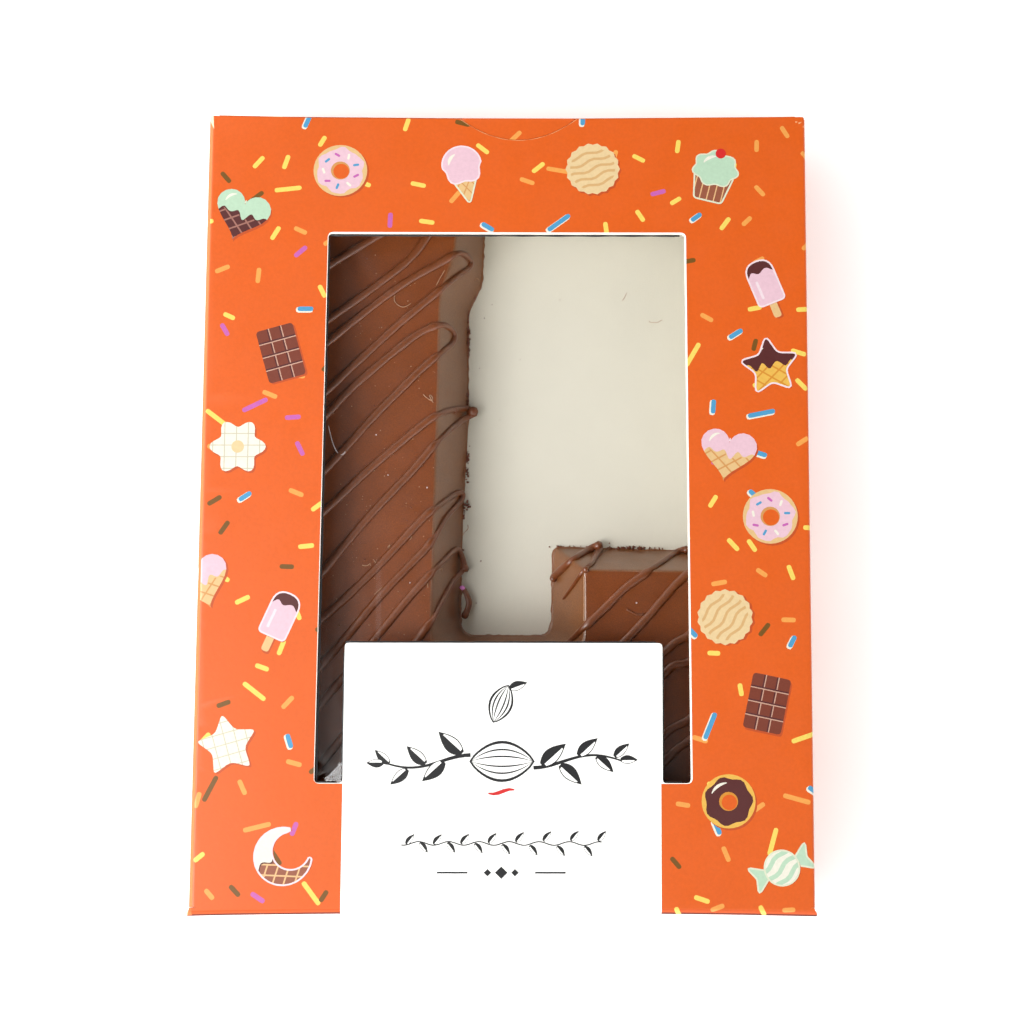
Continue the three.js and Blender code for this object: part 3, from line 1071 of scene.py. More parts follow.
class Look:
    """A material in the making; constants are set on the shader's own sockets"""

    def __init__(self, name, **constants):
        self.material = bpy.data.materials.new(name)
        self.material.use_nodes = True
        self.tree = self.material.node_tree
        self.shader = self.tree.nodes["Principled BSDF"]
        for key, value in constants.items():
            self.shader.inputs[key.replace("_", " ")].default_value = value
        self.place = self.node("TexCoord").outputs["Object"]

    def node(self, kind, inputs=None, **settings):
        return add_node(self.tree, kind, inputs, **settings)

    def link(self, **outputs):
        """Join outputs to the shader's sockets"""
        for key, output in outputs.items():
            self.tree.links.new(output, self.shader.inputs[key.replace("_", " ")])

    def noise(self, scale, low, high, detail=3.0, stretch=None):
        """A number that wanders between low and high"""
        place = self.place
        if stretch:
            place = self.node("Mapping", {"Vector": place, "Scale": stretch}).outputs["Vector"]
        grain = self.node("TexNoise", {"Vector": place, "Scale": scale, "Detail": detail,
                                       "Roughness": 0.55})
        spread = self.node("MapRange", {"Value": grain.outputs["Fac"], "From Min": 0.3, "From Max": 0.7,
                                        "To Min": low, "To Max": high})
        return spread.outputs["Result"]

    def mix(self, factor, first, second, blend="MIX"):
        """One colour turning into another; each of the three is a value or an output"""
        made = self.node("Mix", data_type="RGBA", blend_type=blend)
        colours = {socket.name: socket for socket in made.inputs if socket.type == "RGBA"}
        inputs = ((made.inputs["Factor"], factor), (colours["A"], first), (colours["B"], second))
        for socket, value in inputs:
            if isinstance(value, bpy.types.NodeSocket):
                self.tree.links.new(value, socket)
            else:
                socket.default_value = value
        return [socket for socket in made.outputs if socket.type == "RGBA"][0]

    def times(self, colour, amount):
        return self.mix(1.0, colour, amount, "MULTIPLY")

    def bump(self, heights, distance):
        made = self.node("Bump", {"Height": heights, "Distance": distance, "Strength": 1.0})
        self.link(Normal=made.outputs["Normal"])


def make_print_material():
    """Offset ink under a satin varnish: a fine mottle, and an orange-peel surface"""
    look = Look("printed_board", Coat_Roughness=0.34, Specular_IOR_Level=0.4)
    sheet = look.node("Attribute", attribute_name="ink")
    varnish = sheet.outputs["Alpha"]
    coat = look.node("Math", {0: varnish, 1: COAT_WEIGHT}, operation="MULTIPLY")
    colour = look.times(sheet.outputs["Color"], look.noise(1700, 0.955, 1.03, 2.0))
    colour = look.times(colour, look.noise(60, 0.975, 1.015))
    worn = look.node("MapRange", {"Value": varnish, "To Min": WORN_ROUGHNESS, "To Max": 0.0})
    rough = look.node("Math", {0: look.noise(220, 0.42, 0.5), 1: worn.outputs["Result"]}, operation="ADD")
    look.link(Coat_Weight=coat.outputs[0], Base_Color=colour, Roughness=rough.outputs[0])
    look.bump(look.noise(900, 0, 1), BOARD_GRAIN)
    return look.material


def make_bare_material():
    """The unprinted inner side: warm grey-white board with soft fibres"""
    look = Look("bare_board", Specular_IOR_Level=0.25)
    fibre = look.noise(2600, 0.0, 1.0, 4.0, (1.0, 0.35, 1.0))
    colour = look.mix(fibre, linear((224, 220, 207)), linear((227, 223, 210)))
    colour = look.times(colour, look.noise(90, 0.985, 1.015))
    look.link(Base_Color=colour, Roughness=look.noise(500, 0.75, 0.9))
    look.bump(fibre, BOARD_GRAIN)
    return look.material


def make_core_material():
    """The board's cut edge: pale layers of fibre"""
    look = Look("board_core", Specular_IOR_Level=0.2)
    layer = look.noise(2600, 0.0, 1.0, stretch=(0.3, 0.3, 3.0))
    colour = look.mix(layer, linear((222, 212, 196)), linear((247, 243, 234)))
    look.link(Base_Color=colour, Roughness=look.noise(800, 0.8, 0.95))
    return look.material


def make_film_material():
    """Clear film: mostly light passing through, with a mirror-like skin"""
    look = Look("clear_film")
    look.tree.nodes.remove(look.shader)
    clear = look.node("BsdfTransparent", {"Color": (0.985, 0.985, 0.98, 1)})
    ripple = look.noise(90, 0, 1, stretch=(1.0, 0.3, 1.0))
    bump = look.node("Bump", {"Height": ripple, "Distance": 0.00003})
    gloss = look.node("BsdfGlossy", {"Color": (1, 1, 1, 1), "Roughness": 0.07,
                                     "Normal": bump.outputs["Normal"]})
    facing = look.node("LayerWeight", {"Blend": 0.5}).outputs["Facing"]
    grazing = look.node("Math", {0: facing, 1: 5.0}, operation="POWER").outputs[0]
    mirrored = look.node("MapRange", {"Value": grazing, "To Min": FILM_MIRROR[0], "To Max": FILM_MIRROR[1]})
    joined = look.node("MixShader", {0: mirrored.outputs["Result"], 1: clear.outputs["BSDF"],
                                     2: gloss.outputs["BSDF"]})
    output = look.tree.nodes["Material Output"]
    look.tree.links.new(joined.outputs["Shader"], output.inputs["Surface"])
    return look.material


def make_chocolate_material(name, dark, light, gloss=0.85):
    """Tempered milk chocolate: satin, with a faint bloom in soft patches and fine pits"""
    look = Look(name, Specular_IOR_Level=gloss)
    colour = look.mix(look.noise(70, 0.0, 1.0, 4.0), linear(dark), linear(light))
    colour = look.times(colour, look.noise(1400, 0.94, 1.06))
    colour = look.times(colour, look.noise(3600, 0.8, 1.2, 2.0))
    look.link(Base_Color=colour, Roughness=look.noise(260, 0.29, 0.37))
    look.bump(look.noise(420, 0, 1), CHOCOLATE_GRAIN)
    return look.material


def make_plain_material(name, colour, roughness, darkest=0.85, lightest=1.1):
    """One colour with a fine mottle"""
    look = Look(name, Roughness=roughness)
    look.link(Base_Color=look.times(linear(colour), look.noise(1200, darkest, lightest)))
    return look.material


# Film

# How far the film sags in its middle, and how much it ripples there
FILM_SLACK = 0.35
FILM_RIPPLE = 0.06
FILM_STEP = 0.6
# One facet of the film leans towards the light: its sharp edge's ends, the line that it dips from and
# its slope
GLINT_EDGE = ((-36.2, -53.1), (-30.7, -48.6))
GLINT_RIGHT = -30.7
GLINT_SLOPE = 0.31
# Creases in the film: both ends, height and width
FILM_CREASES = [
    ((-25.0, -8.5), (-24.8, -27.0), 0.10, 0.35), ((-37.5, -54.5), (-30.0, -47.8), 0.35, 0.8),
    ((-38.0, -46.0), (-31.5, -52.5), 0.2, 0.7), ((-33.5, 54.0), (-23.5, 41.0), 0.12, 1.6),
    ((6.0, 56.0), (9.5, 44.0), 0.08, 1.2),
]


def film_height(x, y, width, low, high):
    """How far the film lies above its true plane: it sags, ripples and creases, and one facet leans"""
    share_x = 1 - (x / width) ** 2
    share_y = max(4 * (y - low) * (high - y) / (high - low) ** 2, 0)
    height = -FILM_SLACK * share_x * share_y
    height += FILM_RIPPLE * share_x * share_y * noise.noise(Vector((x / 9, y / 22, 4)))
    spot = Vector((x, y))
    for start, end, rise, spread in FILM_CREASES:
        start = Vector(start)
        along = Vector(end) - start
        share = min(max((spot - start).dot(along) / along.length_squared, 0), 1)
        distance = (spot - start - along * share).length
        ends = math.sin(math.pi * min(max(share, 0.02), 0.98)) ** 0.5
        height -= rise * ends * math.exp(-(distance / spread) ** 2) * smooth(share_x * 6)
    start, end = (Vector(point) for point in GLINT_EDGE)
    edge = (end - start).normalized()
    below = (spot - start).dot(Vector((edge.y, -edge.x)))
    if x < GLINT_RIGHT and y > WINDOW_BOTTOM - 1:
        height -= GLINT_SLOPE * (GLINT_RIGHT - x) * smooth(below / 0.5)
    return height


def make_film():
    low, high = (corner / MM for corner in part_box("window_film"))
    columns = round((high.x - low.x) / FILM_STEP)
    rows = round((high.y - low.y) / FILM_STEP)
    points = []
    for layer in (high.z, low.z):
        for row in range(rows + 1):
            for column in range(columns + 1):
                x = mix(low.x, high.x, column / columns)
                y = mix(low.y, high.y, row / rows)
                lift = film_height(x, y, high.x, low.y, high.y)
                points.append(settled(Vector((x, y, layer))) + Vector((0, 0, lift)))
    wide = columns + 1
    count = wide * (rows + 1)
    faces = []
    for row in range(rows):
        for column in range(columns):
            a = row * wide + column
            quad = (a, a + 1, a + 1 + wide, a + wide)
            faces.append(quad)
            faces.append(tuple(index + count for index in reversed(quad)))
    rim = list(range(columns))
    rim += [row * wide + columns for row in range(rows)]
    rim += [rows * wide + column for column in range(columns, 0, -1)]
    rim += [row * wide for row in range(rows, 0, -1)]
    for a, b in zip(rim, rim[1:] + rim[:1]):
        faces.append((b, a, a + count, b + count))
    film = mesh_object("clear_window_film", points, faces, None, film_material)
    film.data.set_sharp_from_angle(angle=FILM_ARRIS)
    return film


# Painted shadow: dark strips on the film just inside the window, under the front's edge, where the board's
# edge shades it
SHADOW_LINES = [
    [(-35.55, -52.8), (-35.0, 53.3)], [(-34.8, 53.75), (35.0, 53.75)],
    [(-35.6, -52.95), (-30.6, -52.95)], [(30.6, -52.95), (35.6, -52.95)],
    [(-30.62, -52.7), (-30.62, -26.9)], [(-30.4, -26.35), (30.4, -26.35)], [(30.62, -52.7), (30.62, -26.9)],
]
SHADOW_LINE_WIDTH = 0.34
SHADOW_LINE_THICKNESS = 0.06
# How far a line's upper side is above the front's underside, and the step along it
SHADOW_LINE_LIFT = 0.04
SHADOW_LINE_STEP = 1.5


def make_shadow_lines():
    heap = Heap()
    top = DEPTH - BOARD + SHADOW_LINE_LIFT
    for corners in SHADOW_LINES:
        line = curve_through(corners, SHADOW_LINE_STEP)
        edge = ribbon(line, lambda share: SHADOW_LINE_WIDTH * (1 + 0.25 * math.sin(60 * share)))
        count = len(line)
        for height in (top, top - SHADOW_LINE_THICKNESS):
            heap.points += [settled(Vector((point.x, point.y, height))) for point in edge]
        start = len(heap.points) - 4 * count
        pairs = [(start + index, start + 2 * count - 1 - index) for index in range(count)]
        for (a, b), (c, d) in zip(pairs, pairs[1:]):
            low = 2 * count
            heap.faces += [(a, c, d, b), (a + low, b + low, d + low, c + low), (a, a + low, c + low, c),
                           (b, d, d + low, b + low)]
        for (a, b), turn in ((pairs[0], 1), (pairs[-1], -1)):
            heap.faces.append((a, b, b + 2 * count, a + 2 * count)[::turn])
    return mesh_object("painted_window_shadow", heap.points, heap.faces, None, shadow_line_material)


# Letter

RING_SPACING = 0.9
CORNER_STEPS = 6
# Height above the letter's base, and the share of the way from base outline to face outline
SIDE_PROFILE = [
    (0, -0.06), (0.16, -0.065), (0.32, -0.045), (0.5, 0.0), (0.9, 0.03), (2.2, 0.14), (3.8, 0.28),
    (5.4, 0.415), (7.0, 0.55), (8.6, 0.685), (10.2, 0.82), (11.3, 0.915), (11.62, 0.945), (11.85, 0.98),
    (12.0, 1.035),
]
# Flash is the thin ragged edge at the letter's base
FLASH = 0.5
FLASH_HEIGHT = 0.5
SIDE_WAVE = 0.07
FACE_WAVE = 0.04
FACE_SPACING = 1.8
BASE_SPACING = 8


def letter_ring(share):
    """The letter's outline between base and face, with the same number of points at every share"""
    corners = [Vector(base).lerp(Vector(face), share) for base, face in zip(BASE_CORNERS, FACE_CORNERS)]
    radii = [max(mix(base, face, share), 0.3) for base, face in zip(BASE_RADII, FACE_RADII)]
    arcs = soft_corners(corners, radii, CORNER_STEPS)
    ring = []
    per_corner = CORNER_STEPS + 1
    for index in range(len(corners)):
        arc = arcs[index * per_corner:(index + 1) * per_corner]
        after = arcs[((index + 1) * per_corner) % len(arcs)]
        span = Vector(BASE_CORNERS[(index + 1) % len(corners)]) - Vector(BASE_CORNERS[index])
        steps = max(round(span.length / RING_SPACING), 1)
        ring += arc + [arc[-1].lerp(after, step / steps) for step in range(1, steps)]
    return ring


def face_lift(x, y):
    """The letter's face isn't quite flat"""
    return FACE_WAVE * noise.noise(Vector((x, y, 9)) / 11)


def cap_faces(ring, first, spacing):
    """Triangles that fill a ring, with loose points inside; new points get heights from the caller"""
    xs = [point.x for point in ring]
    ys = [point.y for point in ring]
    inner = grid_points(min(xs), min(ys), max(xs), max(ys), spacing)
    corners, _, triangles, originals, _, sources = delaunay_2d_cdt(
        ring + [Vector(point) for point in inner], [], [list(range(len(ring)))], 0, 1e-5)
    number = {}
    extra = []
    kept = [triangle for triangle, inside in zip(triangles, sources) if inside]
    for index in sorted({corner for triangle in kept for corner in triangle}):
        on_ring = [source for source in originals[index] if source < len(ring)]
        if on_ring:
            number[index] = first + on_ring[0]
        else:
            number[index] = None
            extra.append(index)
    return corners, kept, number, extra


def make_letter_body():
    """Points and faces of the letter, and its faces' kinds: 0 for the face, 1 for the sides"""
    points = []
    rings = []
    for height, share in SIDE_PROFILE:
        ring = letter_ring(share)
        start = len(points)
        rings.append(start)
        for spot, outer in zip(ring, grown(ring, 1.0)):
            outward = outer - spot
            wave = SIDE_WAVE * noise.noise(Vector((spot.x, spot.y, height)) / 6)
            ragged = max(noise.noise(Vector((spot.x, spot.y, 2)) * 0.9) + 0.05, 0)
            foot = max(1 - height / FLASH_HEIGHT, 0)
            moved = spot + outward * (wave + FLASH * ragged * foot)
            lift = face_lift(spot.x, spot.y) if height == THICKNESS else 0
            points.append(Vector((moved.x, moved.y, LETTER_BASE + height + lift)))
    wide = rings[1]
    faces = []
    for lower, upper in zip(rings, rings[1:]):
        for index in range(wide):
            after = (index + 1) % wide
            faces.append((lower + index, lower + after, upper + after, upper + index))
    kinds = [1] * len(faces)
    for first, upward in ((rings[0], False), (rings[-1], True)):
        ring = [Vector((point.x, point.y)) for point in points[first:first + wide]]
        corners, kept, number, extra = cap_faces(ring, first, FACE_SPACING if upward else BASE_SPACING)
        for index in extra:
            spot = corners[index]
            height = face_lift(spot.x, spot.y) + THICKNESS if upward else 0
            number[index] = len(points)
            points.append(Vector((spot.x, spot.y, LETTER_BASE + height)))
        for triangle in kept:
            corner_numbers = [number[index] for index in triangle]
            faces.append(corner_numbers if upward else corner_numbers[::-1])
            kinds.append(0)
    return points, faces, kinds


CAMERA_PLACE = Vector((0.66, -30.02, 310.13))
CAMERA_AIM = Vector((0.0027, 0.0991, -0.9951))
CAMERA_UP = Vector((-0.0045, 0.9951, 0.0991))
CAMERA_LENS = 52.73
FACE_HEIGHT = 12.7
# Passes of the drizzle over the stem, each up to its loop at the right edge and down again to the
# turn at the left, on the plane of the letter's face as the camera sees them
STEM_DRIZZLE = [
    [(-45.5, 54), (-43, 45), (-36, 49.5), (-26, 55.8), (-14, 63), (-11.5, 62.5), (-12.5, 60), (-15.8, 56),
     (-19, 51.5), (-24.6, 46.7), (-35.8, 38.4)],
    [(-43, 33.5), (-44, 31), (-42, 29.3), (-35.7, 33.9), (-31.6, 37.4), (-21.4, 45.4), (-12.5, 50.7),
     (-9.7, 52.4), (-7.5, 51.3), (-7.1, 49.6), (-10.2, 47.4), (-14.3, 43.8), (-21.3, 37.8), (-30.4, 29.2),
     (-35.8, 23.9)],
    [(-42.5, 18), (-44, 15), (-42.3, 13.3), (-35.9, 19), (-30.4, 24.9), (-20.6, 33.4), (-16.6, 36.2),
     (-13.2, 37.5), (-11.2, 36.9), (-10.2, 35.2), (-10.9, 33.5), (-13.2, 31.6), (-17.3, 28), (-22.8, 22.4),
     (-26.9, 18.1), (-35.7, 8.1)],
    [(-42.3, 2), (-44, -1.5), (-42.5, -4.8), (-36.2, -0.6), (-27.7, 7.5), (-18.6, 15.4), (-14, 18.9),
     (-10.6, 20.2), (-6.9, 20.3), (-6.2, 19.2), (-8.6, 18.2), (-13.4, 13.8), (-18.5, 7.8), (-27.6, -2.1),
     (-36.2, -12.7)],
    [(-42.5, -20), (-44.2, -24), (-42.4, -26.2), (-36, -21.8), (-26.4, -12.7), (-17.2, -2.7),
     (-13.9, 0.3), (-9.2, 3.6), (-8.4, 2.4), (-11.7, -1.4), (-15.1, -7.1), (-24, -16.6), (-31.2, -25.4),
     (-34.7, -29.5)],
    [(-42, -38), (-44, -42.5), (-41.8, -44.8), (-33.5, -35.5), (-24.9, -24.9), (-18.1, -16.6),
     (-12.2, -10.2), (-9.4, -7.6), (-8.6, -9.3), (-8.0, -11.7), (-9.9, -13.6), (-11.4, -16.2),
     (-13, -19.3), (-14.2, -21.9), (-16.5, -25), (-21, -32), (-30, -43), (-38, -53)],
]
# Strands over the foot, from the upper right down to the left
FOOT_DRIZZLE = [
    [(36.0, -7.7), (34.5, -8.1), (32.7, -9.4), (29.5, -11.6), (24.3, -15.2), (20.2, -19.2),
     (13.2, -25.9), (-18, -56)],
    [(44.5, -7.5), (35.9, -13), (31.3, -17.8), (24.9, -24.9), (-6, -57)],
    [(44.5, -19), (35.4, -25.5), (31.6, -28.2), (2, -57)],
    [(44.5, -26), (35.5, -30.4), (31.6, -32.4), (10, -57)],
    [(44.5, -36), (35.7, -41.7), (31.6, -44.3), (21, -57)],
    [(44.5, -40), (35.4, -46), (32, -49.1), (25, -57)],
]
# Short strands: route, then their share of a usual strand's width at the start and at the end.
# The curl on the foot's raised end, the piece that hangs off the stem and a small ridge on the foot
SHORT_STRANDS = [
    ([(9.5, -13.7), (12.8, -10.6), (16.6, -8.1), (18.4, -6.9), (19.3, -7.5), (18.2, -8.9), (17.4, -10.9),
      (16.2, -11.5), (15.4, -12.5), (14.2, -14.3), (11.5, -18)], 1.3, 0.35),
    ([(-8.2, -15.5), (-7.5, -17), (-6.9, -18.5), (-7.4, -20), (-8.1, -21.6)], 0.85, 1.25),
    ([(23.9, -19.6), (24.9, -19.9), (25.7, -20.5), (26.7, -21), (27.5, -20.5), (27.9, -20)], 0.25, 0.3),
]
# Drops where a strand ran off the edge or started: place and radius
DROPS = [
    (-6.6, 19.7, 1.2), (-7.9, -11.7, 0.85), (36.0, -7.8, 0.85), (18.5, -7.1, 1.05), (9.6, -13.7, 0.75),
    (16.2, -11.9, 0.75), (-10.2, 20.0, 0.7),
]
# A strand's radius, and its height for its width, where it lies on the face and where it bends over a side
FACE_STRAND = (0.84, 0.6)
SIDE_STRAND = (0.63, 0.85)
STRAND_LIFT = 0.14
STRAND_STEP = 0.45
STRAND_SIDES = 12
# A line of sight that lands lower than the first of these has missed the letter. The strand then hangs over
# the edge at the second, and faces outward
MISS_HEIGHT = LETTER_BASE + 0.5
HANG_HEIGHT = LETTER_BASE + 1.6
HANG_NORMAL = (0.6, 0, 0.8)


class Ground:
    """The letter's surface as the camera's line of sight meets it, or a spot hanging just over its edge
    where the line misses
    """

    def __init__(self, points, faces):
        self.tree = BVHTree.FromPolygons(points, faces)

    def seen(self, x, y):
        """Point and normal where the camera's line of sight through a spot of the face plane lands"""
        way = (Vector((x, y, FACE_HEIGHT)) - CAMERA_PLACE).normalized()
        place, normal, _, _ = self.tree.ray_cast(CAMERA_PLACE, way)
        if place is None or place.z < MISS_HEIGHT:
            place = CAMERA_PLACE + way * ((HANG_HEIGHT - CAMERA_PLACE.z) / way.z)
            normal = Vector(HANG_NORMAL)
        return place, normal


def curve_through(points, step):
    """Evenly spaced points on a smooth curve through the given ones"""
    points = [Vector(point) for point in points]
    padded = [2 * points[0] - points[1]] + points + [2 * points[-1] - points[-2]]
    fine = []
    for before, start, end, after in zip(padded, padded[1:], padded[2:], padded[3:]):
        knots = max(math.ceil((end - start).length / (step / 4)), 2)
        for index in range(knots):
            t = index / knots
            bend = (2 * before - 5 * start + 4 * end - after) * t * t
            twist = (3 * start - before - 3 * end + after) * t ** 3
            fine.append(0.5 * (2 * start + (end - before) * t + bend + twist))
    fine.append(points[-1])
    even = [fine[0]]
    walked = 0.0
    for start, end in zip(fine, fine[1:]):
        walked += (end - start).length
        if walked >= step:
            even.append(end)
            walked = 0.0
    return even


def averaged(values, reach):
    """Each value replaced by the mean of its neighbours"""
    result = []
    for index in range(len(values)):
        near = values[max(index - reach, 0):index + reach + 1]
        total = near[0].copy()
        for value in near[1:]:
            total += value
        result.append(total / len(near))
    return result


def tube(points, ups, radii, flatness, sides):
    """A closed tube with round ends along a line of points; flatness is its height for its width"""
    rings = []
    count = len(points)
    for index in range(count):
        ahead = (points[min(index + 1, count - 1)] - points[max(index - 1, 0)]).normalized()
        across = ahead.cross(ups[index]).normalized()
        up = across.cross(ahead) * flatness[index]
        rings.append((points[index], ahead, across, up, radii[index]))
    ends = []
    for (centre, ahead, across, up, radius), way in ((rings[0], -1), (rings[-1], 1)):
        cap = []
        for out in (0.6, 0.9):
            middle = centre + way * ahead * radius * out
            cap.append((middle, ahead, across, up, radius * math.sqrt(1 - out * out)))
        ends.append(cap)
    rings = ends[0][::-1] + rings + ends[1]
    made = []
    for centre, _, across, up, radius in rings:
        for side in range(sides):
            angle = 2 * math.pi * side / sides
            made.append(centre + (across * math.cos(angle) + up * math.sin(angle)) * radius)
    faces = []
    for ring in range(len(rings) - 1):
        for side in range(sides):
            a = ring * sides + side
            b = ring * sides + (side + 1) % sides
            faces.append((a, b, b + sides, a + sides))
    faces.append(tuple(range(sides))[::-1])
    faces.append(tuple(range(len(made) - sides, len(made))))
    return made, faces


class Heap:
    """Many small closed shapes gathered into one mesh"""

    def __init__(self):
        self.points = []
        self.faces = []

    def add(self, points, faces):
        start = len(self.points)
        self.points += points
        self.faces += [tuple(index + start for index in face) for face in faces]


def lump(centre, radius, dice, squash=1.0, roughness=0.25):
    """A small uneven ball"""
    rows = 6
    sides = 8
    offset = Vector((dice.uniform(0, 50), dice.uniform(0, 50), dice.uniform(0, 50)))
    points = []
    for row in range(rows + 1):
        tilt = math.pi * row / rows
        for side in range(sides if 0 < row < rows else 1):
            turn = 2 * math.pi * side / sides
            across = math.sin(tilt)
            way = Vector((across * math.cos(turn), across * math.sin(turn), math.cos(tilt)))
            size = radius * (1 + roughness * noise.noise(way * 1.7 + offset))
            points.append(centre + Vector((way.x, way.y, way.z * squash)) * size)
    faces = []
    last = len(points) - 1
    for side in range(sides):
        after = (side + 1) % sides
        faces.append((0, 1 + side, 1 + after))
        faces.append((last, last - sides + after, last - sides + side))
        for row in range(rows - 2):
            a = 1 + row * sides
            faces.append((a + side, a + sides + side, a + sides + after, a + after))
    return points, faces


def make_drizzle(ground):
    heap = Heap()
    dice = random.Random(5)
    stem_route = [point for drizzle_pass in STEM_DRIZZLE for point in drizzle_pass]
    routes = [(stem_route, 1, 1)] + [(route, 1, 1) for route in FOOT_DRIZZLE] + SHORT_STRANDS
    for number, (route, start_size, end_size) in enumerate(routes):
        flat = curve_through(route, STRAND_STEP)
        met = [ground.seen(point.x, point.y) for point in flat]
        normals = [normal.normalized() for normal in averaged([normal for _, normal in met], 4)]
        middles = averaged([place for place, _ in met], 2)
        middles = [place + normal * STRAND_LIFT for place, normal in zip(middles, normals)]
        radii = []
        flatness = []
        for index, normal in enumerate(normals):
            on_face = smooth((normal.z - 0.75) / 0.2)
            thick = 1 + 0.13 * noise.noise(Vector((index / 9, number, 3)))
            thick += 0.07 * noise.noise(Vector((index / 2.5, number, 8)))
            thick *= mix(start_size, end_size, (index / len(normals)) ** 2)
            radii.append(thick * mix(SIDE_STRAND[0], FACE_STRAND[0], on_face))
            flatness.append(mix(SIDE_STRAND[1], FACE_STRAND[1], on_face))
        heap.add(*tube(middles, normals, radii, flatness, STRAND_SIDES))
    for x, y, radius in DROPS:
        place, normal = ground.seen(x, y)
        heap.add(*lump(place + normal * radius * 0.2, radius, dice, 0.85, 0.2))
    return mesh_object("drizzle", heap.points, heap.faces, None, drizzle_material)


def make_pink_fleck(ground):
    """One pink sugar fleck sticks to the piece that hangs off the stem"""
    place, _ = ground.seen(-8.3, -15.6)
    points, faces = lump(place + Vector((0, 0, 0.5)), 0.55, random.Random(4), 0.7, 0.5)
    return mesh_object("pink_fleck", points, faces, None, pink_material)


# Crumbs hang in clusters on the letter's base edge: middle of a cluster, its spread each way and its count
CRUMB_CLUSTERS = [
    (-7.0, 46.1, 0.35, 0.5, 16), (-7.85, 39, 0.12, 2.4, 60), (-7.75, 35.3, 0.15, 1.2, 18),
    (-7.8, 25.6, 0.13, 1.1, 16), (-7.75, 12.3, 0.2, 1.0, 26), (-7.8, 8.0, 0.13, 2.4, 24),
    (-7.7, 2.0, 0.3, 0.6, 16), (-8.4, 0.6, 0.15, 1.2, 12), (-8.8, -8.6, 0.12, 1.3, 10),
    (26.3, -6.6, 2.6, 0.16, 60), (14.0, -6.4, 1.8, 0.12, 16),
]
CRUMB_RADIUS = (0.07, 0.24)
CRUMB_PILE = 0.4
# Single crumbs on the board, by place and radius
BOARD_CRUMBS = [
    (-2.9, 44.6, 0.1), (3.1, 32.9, 0.1), (-7.5, 39.2, 0.12), (-4.9, -9.4, 0.14), (-5.8, -18.1, 0.12),
    (-1.1, 20.1, 0.08), (11.4, 45.7, 0.1), (-4.5, 41.7, 0.12), (21.7, -5.6, 0.14), (-5.4, 31.0, 0.1),
]
FACE_CRUMBS = 18
FACE_CRUMB_RADIUS = (0.08, 0.17)


def make_crumbs(ground):
    heap = Heap()
    dice = random.Random(8)
    for x, y, wide, high, count in CRUMB_CLUSTERS:
        for _ in range(count):
            radius = dice.uniform(*CRUMB_RADIUS)
            height = LETTER_BASE + radius * 0.8 + dice.uniform(0, CRUMB_PILE)
            centre = Vector((dice.gauss(x, wide), dice.gauss(y, high), height))
            heap.add(*lump(centre, radius, dice, 0.9, 1.0))
    for x, y, radius in BOARD_CRUMBS:
        heap.add(*lump(Vector((x, y, LETTER_BASE + radius * 0.6)), radius, dice, 0.8, 0.5))
    for _ in range(FACE_CRUMBS):
        place, _ = ground.seen(dice.uniform(-34, -15), dice.uniform(-24, 52))
        radius = dice.uniform(*FACE_CRUMB_RADIUS)
        heap.add(*lump(place + Vector((0, 0, radius * 0.6)), radius, dice, 0.8, 0.5))
    return mesh_object("crumbs", heap.points, heap.faces, None, crumb_material)


# Fine pale shavings and lint on the letter: routes on the face plane, as the camera sees them
SHAVINGS = [
    [(-22.4, 43.6), (-22.5, 42.4), (-21.5, 41.3), (-20.3, 41.1), (-18.9, 42.0)],
    [(-16.5, 23.3), (-15.7, 22.5), (-14.5, 21.9), (-14.7, 22.9), (-15.3, 23.1), (-14.3, 21.3)],
    [(-25.8, -17.0), (-24.0, -15.4), (-22.5, -14.2)],
    [(-26.1, -9.9), (-25.5, -10.7), (-25.7, -11.9)],
    [(-28.3, -11.1), (-27.3, -11.3), (-26.5, -10.7)],
    [(-23.3, -7.7), (-22.7, -6.9), (-23.1, -8.1)],
    [(-15.9, -13.2), (-15.3, -14.2), (-15.1, -15.8)],
    [(-19.0, -4.7), (-18.4, -5.5), (-19.0, -6.3)],
    [(20.8, -17.2), (22.0, -17.8), (23.2, -17.4)],
    [(-13.0, -12.2), (-12.2, -11.6), (-12.6, -12.8)],
    [(-12.3, 48.8), (-13.2, 47.2), (-14.1, 45.4)],
    [(-6.3, 46.4), (-5.8, 47.2), (-5.2, 46.3)],
    [(-7.4, -2.9), (-7.2, -3.8), (-8.2, -4.7), (-8.3, -5.4)],
]
# White lint under the film, and spots of it on the face and foot
FACE_LINT = [(-35.4, 17.0), (-34.7, 14.2), (-33.9, 12.0), (-32.9, 10.8), (-32.2, 10.9), (-31.8, 11.9)]
LINT_SPOTS = [(-16.6, 8.9), (-18.7, -14.6), (-15.5, 4.4), (-25.8, 15.0), (-23.3, 6.9), (26.2, -18.4)]
LINT_RADIUS = 0.12
LINT_HEIGHT = 0.5
# Lint on the board
BOARD_LINT = [
    [(25.4, 47.2), (25.0, 46.3), (24.4, 45.5)],
    [(30.1, 41.3), (30.5, 40.9), (31.2, 41.0), (31.8, 40.9), (32.4, 41.3), (33.0, 41.5)],
]
# Painted highlight: a pale thread along part of the foot's left arris, where the light glints on it
ARRIS_HIGHLIGHT = [(15.8, -13.1), (15.85, -17.5), (15.8, -22.2)]
ARRIS_HIGHLIGHT_RADIUS = 0.15
SHAVING_RADIUS = 0.075
SHAVING_HEIGHT = 0.16
BOARD_LINT_RADIUS = 0.05
FIBRE_STEP = 0.3
FIBRE_SIDES = 6
# Pale specks on the stem: how many, their span across and along it, and their radius
FACE_SPECKS = 150
SPECKS_ACROSS = (-35, -14)
SPECKS_ALONG = (-25, 52)
SPECK_RADIUS = (0.04, 0.13)


